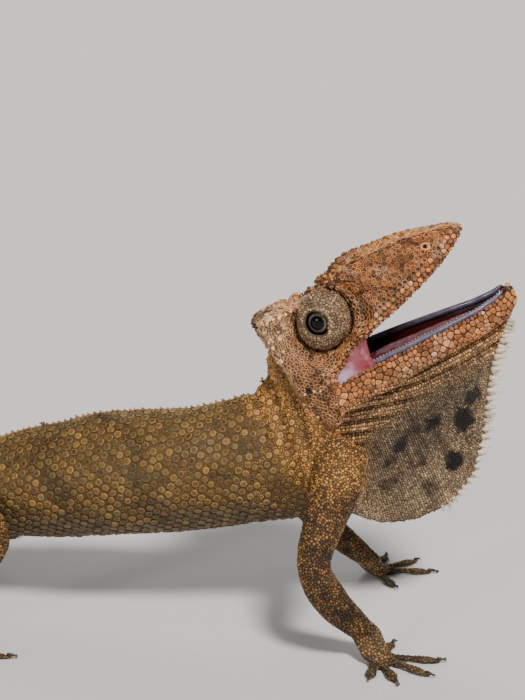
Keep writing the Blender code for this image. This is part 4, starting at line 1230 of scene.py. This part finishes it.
# pointed pieces; rings are shares of the length and the width, wide is the way in which they are broadest
def thorns(name, roots, ways, lengths, widths, bends, colours, rings, corners, material,
           wide=None, thin=1.0):
    turns = np.arange(corners) * 2 * math.pi / corners
    wide = np.cross(ways, (0.31, 0.2, 0.93)) if wide is None else wide
    wide = unit(wide - ways * (wide * ways).sum(1)[:, None])
    narrow = np.cross(ways, wide) * thin
    circle = wide[:, None] * np.cos(turns)[None, :, None] + narrow[:, None] * np.sin(turns)[None, :, None]
    columns, edges = [], []
    for f, share in rings:
        middle = roots + ways * (lengths * f)[:, None] + bends * f ** 2
        columns.append(middle[:, None] + circle * (widths * share)[:, None, None])
        # the edge tone is dark at the foot, painted shade where the piece meets the skin, and light towards the
        # tip, painted highlight
        edges.append(np.full((len(roots), corners), min(1.0, 0.25 + f * 1.5)))
    columns.append((roots + ways * lengths[:, None] + bends)[:, None])
    edges.append(np.ones((len(roots), 1)))
    block = np.concatenate(columns, 1)
    block[..., 2] = np.maximum(block[..., 2], coatPlan["lowest"])
    mesh, _ = repeatedMesh(name, block, ringFaces(len(rings), corners))
    setAttribute(mesh, "hide", np.repeat(colours, block.shape[1], 0))
    setAttribute(mesh, "edge", np.concatenate(edges, 1).ravel())
    addObject(name, mesh, [material])
    print(name, len(roots))


def gazeFrame(side):  # the gaze, the way down and ahead across it, and the third way
    gaze = unit(np.array(eyePlan["gaze"][side], float))
    low = np.array((1.0, 0, -1.0))
    low = unit(low - gaze * (low @ gaze))
    return gaze, low, np.cross(gaze, low)


def eyeSurface(side, local):  # points round the gaze, moved out to the turret's own rounded shape
    gaze, low, third = gazeFrame(side)
    outward = outwardOf(side)
    ahead = unit(np.array((1.0, 0, 0)) - outward * outward[0])
    upright = np.cross(outward, ahead)
    share = np.linalg.norm(local, axis=1)
    way = unit(local[:, :1] * low + local[:, 1:2] * third + local[:, 2:] * gaze)
    halves = ((outward, eyePlan["rise"]), (ahead, eyePlan["wide"][side]), (upright, eyePlan["tall"][side]))
    size = 1 / np.sqrt(sum((way @ axis / half) ** 2 for axis, half in halves))
    return way, share, size


lidPlan = {"spacing": 0.56, "height": 0.2, "tone": 0.4, "colour": (140, 112, 84), "dark": (70, 44, 28),
           "back": 118, "grooves": [(3.05, 0.3, 0.24), (4.25, 0.24, -0.3), (4.9, 0.3, 0.16)]}


def makeLid(side, tag):
    start, back = math.asin(eyePlan["opening"] / eyePlan["rise"]), math.radians(lidPlan["back"])
    wall = 1 - eyePlan["wall"]
    outer = [(start + (back - start) * n / 40, 1.0) for n in range(41)]
    inner = [(back - (back - start) * n / 14, wall) for n in range(14)]
    brim = [(start - 0.025, wall + 0.02), (start - 0.04, 0.5 + wall / 2), (start - 0.022, 0.985)]
    bm = spun(outer + inner + brim, 72, True)
    local = np.array([v.co for v in bm.verts])
    theta = np.arctan2(np.hypot(local[:, 0], local[:, 1]), local[:, 2])
    turn = np.arctan2(local[:, 1], local[:, 0])
    corner = 0.17 * bell(np.abs(turn), 0, 0.5) + 0.07 * bell(np.abs(np.abs(turn) - math.pi), 0, 0.5)
    grown = theta * (1 + corner * (1 - smoothStep(theta, start, start + 0.5)))
    share = np.linalg.norm(local, axis=1)[:, None]
    local = share * np.stack([np.sin(grown) * np.cos(turn), np.sin(grown) * np.sin(turn), np.cos(grown)], 1)
    way, share, size = eyeSurface(side, local)
    ring = size * np.sin(theta)
    lower = 0.45 + 0.55 * np.clip(np.cos(turn - 0.2), 0, 1)
    lift = sum(h * bell(ring, r, w) * (lower if r > 4 else 1) for r, w, h in lidPlan["grooves"])
    lift = lift * (share > 0.97)
    centre = eyeCentre(side)
    points = centre + way * (size * share + lift)[:, None]
    depth = (points - centre) @ outwardOf(side)
    points += outwardOf(side) * np.maximum(eyePlan["floor"] - depth, 0)[:, None]
    mesh = finished("lid_" + tag, bm, points)
    tris = triangleTable(mesh)
    outside = (share > 0.99) & (depth > eyePlan["floor"] + 0.25)
    # painted light and shade on the lid: lighter on its raised rings, darker in its grooves, a pale ring round
    # the opening and painted shade just inside the brim
    brimShade = 0.6 * bell(theta, start + 0.09, 0.06) - 0.5 * bell(theta, start - 0.03, 0.02)
    shade = 1 + 0.9 * lift + 0.16 * layered(points, 2.0, 41) + brimShade
    colour = lin(*lidPlan["colour"]) * np.clip(shade, 0.25, 1.6)[:, None]
    colour = tinted(colour, lin(*lidPlan["dark"]), 0.5 * smoothStep(layered(points, 1.6, 43), 0.15, 0.6))
    # the lid's skin between the granules at half its tone: painted shade in the gaps
    setAttribute(mesh, "hide", colour * 0.5)
    setAttribute(mesh, "edge", np.full(len(points), 1.0))
    addObject("lid_" + tag, mesh, [bareHide], ["eyelid_" + tag])
    normals = vertexNormals(points, tris)
    around = unit(np.cross(way, gazeFrame(side)[0]))
    surface = {"points": points, "tris": tris, "normals": normals, "lie": around, "colour": colour,
               "spacing": np.where(outside, lidPlan["spacing"], 0.0), "stretch": np.full(len(points), 1.35),
               "rows": ring / 0.5, "rowLength": np.full(len(points), 0.5),
               "rowWay": unit(np.cross(around, normals))}
    treeOf(surface)
    atlas(surface, [np.ones(len(points), bool)])
    places, index = scatter(surface, surface["spacing"], 50 + side)
    places, index = relax(surface, places, index, 3)
    n = len(places)
    size = np.full(n, lidPlan["spacing"])
    looks = {"height": np.full(n, lidPlan["height"]), "tone": np.full(n, lidPlan["tone"]), "pit": np.zeros(n),
             "core": np.zeros(n)}
    growCoat("lid_" + tag, surface, places, index, size, size * 0.8, looks, np.zeros(n, bool),
             60 + side)


eyeTones = [(0.0, (2, 2, 3)), (1.6, (3, 3, 4)), (1.7, (74, 70, 66)), (1.98, (132, 124, 112)),
            (2.16, (88, 70, 54)), (2.4, (34, 24, 19)), (3.2, (30, 20, 13)), (4.4, (16, 11, 8))]


def makeEye(side, tag):
    bulge = math.asin(eyePlan["ring"] * 1.08 / eyePlan["ball"])
    keys = [(bulge * n / 26, 1 + 0.075 * math.cos(math.pi / 2 * n / 26) ** 0.8) for n in range(26)]
    keys += [(bulge + (math.pi - bulge) * n / 30, 1.0) for n in range(31)]
    bm = spun(keys, 64, False)
    local = np.array([v.co for v in bm.verts])
    gaze, low, third = gazeFrame(side)
    ball = eyePlan["ball"]
    points = eyeCentre(side) + ball * (local[:, :1] * low + local[:, 1:2] * third + local[:, 2:] * gaze)
    out = ball * np.hypot(local[:, 0], local[:, 1])
    out = np.where(local[:, 2] < 0, ball * 2 - out, out)
    mesh = finished("eyeball_" + tag, bm, points)
    tones = np.array([lin(*tone) for _, tone in eyeTones])
    colour = np.stack([np.interp(out, [r for r, _ in eyeTones], tones[:, k]) for k in range(3)], 1)
    setAttribute(mesh, "hide", colour)
    addObject("eyeball_" + tag, mesh, [eyeGloss], ["eye_" + tag])


for side, tag in sides:
    makeLid(side, tag)
    makeEye(side, tag)
print("eyes and lids made")


mouthPlan = {
    "plan": [(1.0, 1.25), (0.8, 1.1), (0.55, 1.0), (0.3, 0.9), (0.1, 0.9), (0.06, 2.5), (0.12, 5.0), (0.2, 8.4),
             (0.24, 12.4)],  # share of the way to the front edge, and mm inside the lip; the last is the middle
    "front": [(0.0, 10.4), (0.35, 10.3), (0.7, 11.9), (1.0, 14.2)],  # how far the cheek reaches, jaw to skull
    # the throat and tongue tones are darkened as painted shade inside the mouth
    "throat": (78, 14, 16), "cheek": (170, 78, 90), "vein": (132, 30, 38), "lilac": (196, 174, 188),
    "pale": (206, 150, 160), "tongue": (92, 28, 32), "tongueTop": (130, 58, 62),
    "thickness": 0.5,
}


def mouthBag():  # cheek membranes and the back of the throat, one sheet bent round the corners of the mouth
    def place(s, f):
        half = np.abs(2 * s - 1)
        keys = np.linspace(1, 0, len(mouthPlan["plan"]))
        deep, inside = (np.interp(half, keys[::-1], values[::-1]) for values in zip(*mouthPlan["plan"]))
        reach = profile(mouthPlan["front"], f) * deep
        low = jawPoint(reach, profile(skinPlan["jawLip"], reach) - 0.7, 0 * reach)
        high = headPoint(reach, profile(skinPlan["lipHeight"], reach) + 1.2, 0 * reach)
        out = low + (high - low) * f[:, None] - mouthCorner
        fan = [np.linalg.norm(edge - mouthCorner, axis=1) for edge in (low, high)]
        sheet = mouthCorner + unit(out) * (fan[0] * (1 - f) + fan[1] * f)[:, None]
        lips = profile(skinPlan["jawWidth"], reach) * (1 - f) + profile(skinPlan["lipWidth"], reach) * f
        bow = 0.9 * np.sin(math.pi * f) * half
        sheet[:, 1] = np.sign(2 * s - 1) * np.maximum(lips - inside - bow, 0) * (half > 0.001)
        return sheet
    bm = bent(90, 26, place)
    bmesh.ops.recalc_face_normals(bm, faces=bm.faces)
    bmesh.ops.solidify(bm, geom=bm.faces[:], thickness=mouthPlan["thickness"])
    mesh = finished("mouth_bag", bm)
    points = ownPoints(mesh)
    reach = np.linalg.norm((points - mouthCorner)[:, [0, 2]], axis=1)
    side = smoothStep(np.abs(points[:, 1]), 8.5, 11.2)
    _, up, _ = headCoords(points)
    lilac = (1 - smoothStep(reach + 0.35 * up + 1.8 * murmur(points, 2.2, 72), 4.5, 7.5)) * side
    # the dark red base is painted shade at the back of the mouth
    colour = evenly(mouthPlan["throat"], len(points))
    vein = 0.75 * smoothStep(layered(points, 1.5, 71), -0.05, 0.35) * side
    pale = 0.6 * side * smoothStep(murmur(points, 1.1, 75), 0.3, 0.7) * (1 - lilac)
    for tone, share in (("cheek", side), ("vein", vein), ("lilac", lilac), ("pale", pale)):
        colour = tinted(colour, lin(*mouthPlan[tone]), share)
    setAttribute(mesh, "hide", colour)
    addObject("mouth_bag", mesh, [mouthFlesh], ["mouth_lining"])


def tube(name, path, wide, tall, across, up, colour, material):  # along a path, closed at both ends
    steps = np.linspace(0, 1, len(path))

    def place(s, f):
        middle = np.stack([np.interp(s, steps, path[:, k]) for k in range(3)], 1)
        ends = np.sqrt(np.clip(1 - np.abs(2 * s - 1) ** 14, 0, 1))
        turn = f * 2 * math.pi
        return middle + across * (wide * np.cos(turn) * ends)[:, None] \
            + up * (tall * np.sin(turn) * ends)[:, None]
    mesh = finished(name, bent(len(path) - 1, 10, place))
    tone = 1 + 0.18 * layered(ownPoints(mesh), 2.2, 73)
    setAttribute(mesh, "hide", evenly(colour, len(tone)) * tone[:, None])
    addObject(name, mesh, [material])


gumPlan = {"lower": (9.0, 43.4), "upper": (15.0, 43.0), "wide": 0.6, "tall": 0.72, "colour": (104, 98, 118),
           "toothStep": 0.8, "toothLength": 0.42, "toothWidth": 0.2, "tooth": (214, 206, 196)}


def makeGums():
    roots, ways = [], []
    for level, point, lip, width, up, rise, inset in (
            ("lower", jawPoint, "jawLip", "jawWidth", jawUp, 0.2, 1.45),
            ("upper", headPoint, "lipHeight", "lipWidth", -headUp, 1.05, 1.9)):
        start, end = gumPlan[level]
        along = np.linspace(start, end, 60)
        half = profile(skinPlan[width], along)
        half = half - inset * np.minimum(1, half / 5)
        for side, tag in sides:
            path = point(along, profile(skinPlan[lip], along) + rise, side * half)
            tube(f"gum_{level}_{tag}", path, gumPlan["wide"], gumPlan["tall"], sideways * side, up,
                 gumPlan["colour"], mouthFlesh)
            places = np.arange(start + 1.5, end - 0.4, gumPlan["toothStep"])
            roots += [[np.interp(a, along, path[:, k]) for k in range(3)] + up * 0.45 for a in places]
            ways += [up + sideways * side * 0.12] * len(places)
    roots, ways = np.array(roots), unit(np.array(ways))
    n = len(roots)
    rng = np.random.default_rng(81)
    thorns("teeth", roots, ways, gumPlan["toothLength"] * rng.uniform(0.8, 1.15, n),
           np.full(n, gumPlan["toothWidth"]), -ways * 0, evenly(gumPlan["tooth"], n),
           [(0, 1), (0.5, 0.75), (0.85, 0.35)], 6, horn)


def makeTongue():
    mesh = remeshed(mergedCopy(["tongue"]), 0.42)
    mesh.name = "tongue_flesh"
    points, edges = ownPoints(mesh), edgeTable(mesh)
    points = ironed(points, edges, np.ones(len(points)), 22)
    normals = vertexNormals(points, triangleTable(mesh))
    top = smoothStep(normals @ jawUp, 0.2, 0.8)
    points += normals * (0.1 * top * murmur(points, 0.9, 74))[:, None]
    putPoints(mesh, points)
    # the tongue's dark base is painted shade inside the mouth
    base = evenly(mouthPlan["tongue"], len(points))
    setAttribute(mesh, "hide", tinted(base, lin(*mouthPlan["tongueTop"]), 0.6 * top))
    mesh.shade_smooth()
    addObject("tongue_flesh", mesh, [mouthFlesh], ["tongue"])


mouthBag()
makeGums()
makeTongue()
print("mouth made")


beardPlan = {"count": 92, "first": 0.3, "last": 6.3, "length": 2.8, "width": 0.62, "colour": (236, 218, 190)}


def makeBeard():  # soft pointed scales along the fan's edge, in three ragged rows
    rng = np.random.default_rng(91)
    n = beardPlan["count"]
    f = np.clip((np.arange(n) + rng.uniform(-0.4, 0.4, n)) / (n - 1), 0, 1)
    steps = beardPlan["first"] + (beardPlan["last"] - beardPlan["first"]) * f
    here, ahead = alongFan("edge", steps), alongFan("edge", steps + 0.05)
    along = unit(ahead - here)
    out = upright(along[:, ::-1] * (-1, 1))
    row = np.arange(n) % 3 - 1
    lean = row * rng.uniform(0.25, 0.6, n)
    ways = unit(out + np.array((0, 0, 1)) * (0.35 * (1 - f))[:, None] + sideways * lean[:, None]
                + 0.1 * rng.normal(0, 1, (n, 3)))
    size = np.interp(f, [0, 0.08, 0.3, 0.62, 0.8, 1], [0.55, 0.85, 1.0, 0.85, 0.55, 0.4])
    length = beardPlan["length"] * size * rng.uniform(0.7, 1.15, n)
    roots = np.stack([here[:, 0], row * 0.5, here[:, 1]], 1) - out * 0.55
    curl = np.where(rng.random(n) < 0.12, 1.6, 0.3)[:, None]  # a few are bent far over
    curl = curl * rng.normal(0, 0.5, (n, 3)) * length[:, None] * 0.5
    pale = lin(*beardPlan["colour"]) * rng.uniform(0.7, 1.1, (n, 1))
    thorns("beard", roots, ways, length + 0.5, beardPlan["width"] * (0.6 + 0.4 * size), curl, pale,
           [(0, 1), (0.25, 0.95), (0.5, 0.7), (0.75, 0.42), (0.92, 0.18)], 7, horn)


def onBack(places):  # drops places on to the top of the trunk
    found = [skin["tree"].ray_cast(Vector((x, y, 110)), Vector((0, 0, -1)), 110)[:2] for x, y, _ in places]
    return np.array([p for p, _ in found]), np.array([n for _, n in found])


def makeCrest():
    rng = np.random.default_rng(92)
    x = -np.arange(25.2, 176, backPlan["step"])
    n = len(x)
    aimed = np.stack([x, profile(backPlan["side"], -x) + rng.normal(0, 0.08, n), np.zeros(n)], 1)
    places, normals = onBack(aimed)
    high = np.interp(-x, [24, 60, 176], [backPlan["nape"], 1.0, backPlan["tail"]]) * rng.uniform(0.7, 1.2, n)
    ways = unit(normals + np.array((-0.55, 0, 0)))
    colour = lin(*backPlan["colour"]) * rng.uniform(0.6, 1.5, (n, 1))
    width = backPlan["width"] * np.interp(-x, [24, 176], [1, 0.6])
    thorns("crest", places - normals * 0.4, ways, high + 0.4, width, np.zeros((n, 3)), colour,
           [(0, 1), (0.4, 0.85), (0.75, 0.5)], 8, scaleHide, np.tile((1.0, 0, 0), (n, 1)), 0.42)


tuberclePlan = {"casque": 130, "brow": 30, "cheek": 18, "neck": 24, "colour": (200, 160, 124),
                "browHigh": [(-5, 22.8), (-2, 22.1), (1.5, 20.7), (8.5, 17.7), (12, 16.9), (15.5, 16.3)],
                "browWide": [(-5, 3.3), (-1.5, 5.6), (4, 7.2), (12, 7.0), (22, 6.6)]}


def makeTubercles():  # raised knobs on the casque, over the brows, on the cheeks and on the neck
    rng = np.random.default_rng(93)
    roots, normals, sizes, tones = [], [], [], []
    for kind, member, low, high in (
            ("casque", inZones("casque") & (skin["normals"] @ headUp > -0.2), 0.34, 0.68),
            ("cheek", inZones("temple") & (skin["v"] < 6) & (skin["u"] < 4), 0.26, 0.42),
            ("neck", inZones("neck") & (skin["points"][:, 2] > 44), 0.34, 0.62)):
        chosen = rng.choice(np.flatnonzero(member), tuberclePlan[kind], replace=False)
        roots.append(skin["points"][chosen])
        normals.append(skin["normals"][chosen])
        sizes.append(rng.uniform(low, high, len(chosen)))
        tones.append(tinted(skin["colour"][chosen], lin(*tuberclePlan["colour"]), np.full(len(chosen), 0.22)))
    for side in (-1, 1):  # the brow's saw edge
        along = np.linspace(-4.5, 15, tuberclePlan["brow"] // 2)
        aimed = headPoint(along, profile(tuberclePlan["browHigh"], along),
                          side * profile(tuberclePlan["browWide"], along))
        places, index = settle(skin, aimed)
        roots.append(places)
        normals.append(unit(readAt(skin, "normals", places, index) + headUp * 0.2))
        sizes.append(rng.uniform(0.34, 0.55, len(places)))
        tones.append(readAt(skin, "colour", places, index) * 1.1)
    roots, ways, sizes = np.concatenate(roots), np.concatenate(normals), np.concatenate(sizes)
    tones = np.concatenate(tones) * rng.uniform(0.6, 1.35, (len(roots), 1))
    tones *= 1 - 0.6 * nearTip(roots)[:, None]
    ways = unit(ways + 0.12 * rng.normal(0, 1, ways.shape))
    thorns("tubercles", roots - ways * 0.2, ways, sizes * 1.15 + 0.2, sizes, np.zeros_like(ways), tones,
           [(0, 1.05), (0.45, 0.95), (0.75, 0.68), (0.93, 0.32)], 9, scaleHide)


clawPlan = {
    "middle": {("hand", -1): (2.23, -24.61), ("hand", 1): (4.74, 25.09), ("foot", -1): (-103.22, -21.92),
               ("foot", 1): (-111.38, 48.35)},
    "heading": {"hand": 50, "foot": 24},
    "reach": {"hand": 6.6, "foot": 10.5},
    "angles": {"hand": (52, 22, -14, -46, -112), "foot": (58, 30, 4, -20, -80)},
    "lengths": {"hand": (7.5, 9.5, 11.5, 12.0, 8.5), "foot": (7.0, 10.0, 14.0, 18.0, 10.5)},
    "claw": 2.3,
    "width": 0.46,
    "droop": 1.75,
    "colour": (58, 44, 34),
}


def makeClaws():
    roots, ways = [], []
    for (kind, side), middle in clawPlan["middle"].items():
        heading = math.radians(clawPlan["heading"][kind]) * side
        for angle, length in zip(clawPlan["angles"][kind], clawPlan["lengths"][kind]):
            aim = heading + math.radians(angle) * side
            way = np.array((math.cos(aim), math.sin(aim), 0))
            share = 0.75 if abs(angle) < 60 else 0.35
            base = np.array((*middle, 0)) + way * clawPlan["reach"][kind] * 0.5 * share
            roots.append(base + way * (length - 0.7) + np.array((0, 0, 0.95)))
            ways.append(unit(way + np.array((0, 0, 0.42))))
    roots, ways = np.array(roots), np.array(ways)
    n = len(roots)
    thorns("claws", roots, ways, np.full(n, clawPlan["claw"] + 0.5), np.full(n, clawPlan["width"]),
           np.tile((0, 0, -clawPlan["droop"]), (n, 1)), evenly(clawPlan["colour"], n),
           [(0, 1), (0.2, 1.05), (0.45, 0.8), (0.7, 0.5), (0.9, 0.2)], 10, horn,
           np.tile((0, 0, 1.0), (n, 1)), 0.62)


def makeNostrils():
    for side, tag in sides:
        along, up, across = nostrilPlan["place"]
        found, normal, _, _ = skin["tree"].find_nearest(Vector(headPoint(along, up, across * side)))
        found, normal = np.array(found), np.array(normal)
        first = unit(np.cross(normal, sideways))
        second = np.cross(normal, first)

        def place(s, f):
            around, turn = s * 2 * math.pi, f * 2 * math.pi
            out = np.multiply.outer(np.cos(around), first) + np.multiply.outer(np.sin(around), second)
            ring = nostrilPlan["radius"] * (1 + 0.12 * np.cos(2 * around))
            return found + normal * 0.2 + out * (ring + nostrilPlan["rim"] * np.cos(turn))[:, None] \
                + np.multiply.outer(nostrilPlan["rim"] * 1.15 * np.sin(turn), normal)
        mesh = finished("nostril_" + tag, bent(32, 10, place))
        points = ownPoints(mesh)
        setAttribute(mesh, "hide", evenly(nostrilPlan["colour"], len(points)))
        # the edge tone darkens the inside of the ring, painted shade in the nostril, and lightens its outside,
        # painted highlight
        inner = np.linalg.norm(points - found, axis=1)
        setAttribute(mesh, "edge", smoothStep(inner, 0.5, 0.9))
        addObject("nostril_" + tag, mesh, [scaleHide])


makeBeard()
makeCrest()
makeTubercles()
makeClaws()
makeNostrils()
print("beard, crest, knobs, claws and nostrils made")


stagePlan = {
    "floor": (0.8, 0.79, 0.77), "reach": 6.0, "world": (0.86, 0.88, 0.92), "worldPower": 0.27,
    "aim": (0.08, -0.02, 0.06),
    # place in metres, degrees across, power, colour
    "lights": {"key": ((0.3, -0.5, 0.72), 12, 3.2, (1.0, 0.97, 0.93)),
               "fill": ((-0.5, -0.7, 0.3), 9, 0.6, (0.94, 0.96, 1.0)),
               "rim": ((0.1, 0.6, 0.55), 24, 0.7, (1.0, 0.98, 0.95))},
}


def addLight(name, place, size, power, colour):
    lamp = bpy.data.lights.new(name, "SUN")
    lamp.energy = power
    lamp.color = colour
    lamp.angle = math.radians(size)
    obj = linked(name, lamp)
    obj.location = place
    obj.rotation_mode = "QUATERNION"
    obj.rotation_quaternion = (Vector(stagePlan["aim"]) - Vector(place)).to_track_quat("-Z", "Y")


def setStage():
    bm = bmesh.new()
    bmesh.ops.create_grid(bm, x_segments=1, y_segments=1, size=stagePlan["reach"])
    mesh = meshOf("floor", bm)
    floor = linked("floor", mesh)
    material, tree, shader = nodesOf("floorPaper")
    tone = mixed(tree, "MULTIPLY", 1.0, stagePlan["floor"], tonedGrain(tree, 6, 2, 0.985, 1.015))
    tree.links.new(tone, shader.inputs["Base Color"])
    setSockets(shader, {"Roughness": 0.85})
    mesh.materials.append(material)
    world = bpy.data.worlds.new("studio")
    world.use_nodes = True
    background = world.node_tree.nodes["Background"]
    setSockets(background, {"Color": (*stagePlan["world"], 1), "Strength": stagePlan["worldPower"]})
    bpy.context.scene.world = world
    for name, values in stagePlan["lights"].items():
        addLight(name, *values)


cameraPlan = {"target": (-23.7, 0.0, 66.8), "distance": 420.0, "elevation": 16.0, "lens": 93.5}


def setCamera():
    target = (np.array(cameraPlan["target"]) + standAt) * mm
    lift = math.radians(cameraPlan["elevation"])
    back = np.array((0, -math.cos(lift), math.sin(lift)))
    data = bpy.data.cameras.new("camera")
    data.lens = cameraPlan["lens"]
    data.sensor_width = 36
    data.clip_start = 0.01
    camera = linked("camera", data)
    camera.location = Vector(target + back * cameraPlan["distance"] * mm)
    camera.rotation_mode = "QUATERNION"
    camera.rotation_quaternion = Vector(-back).to_track_quat("-Z", "Y")
    bpy.context.scene.camera = camera


setStage()
setCamera()
print("stage and camera set")
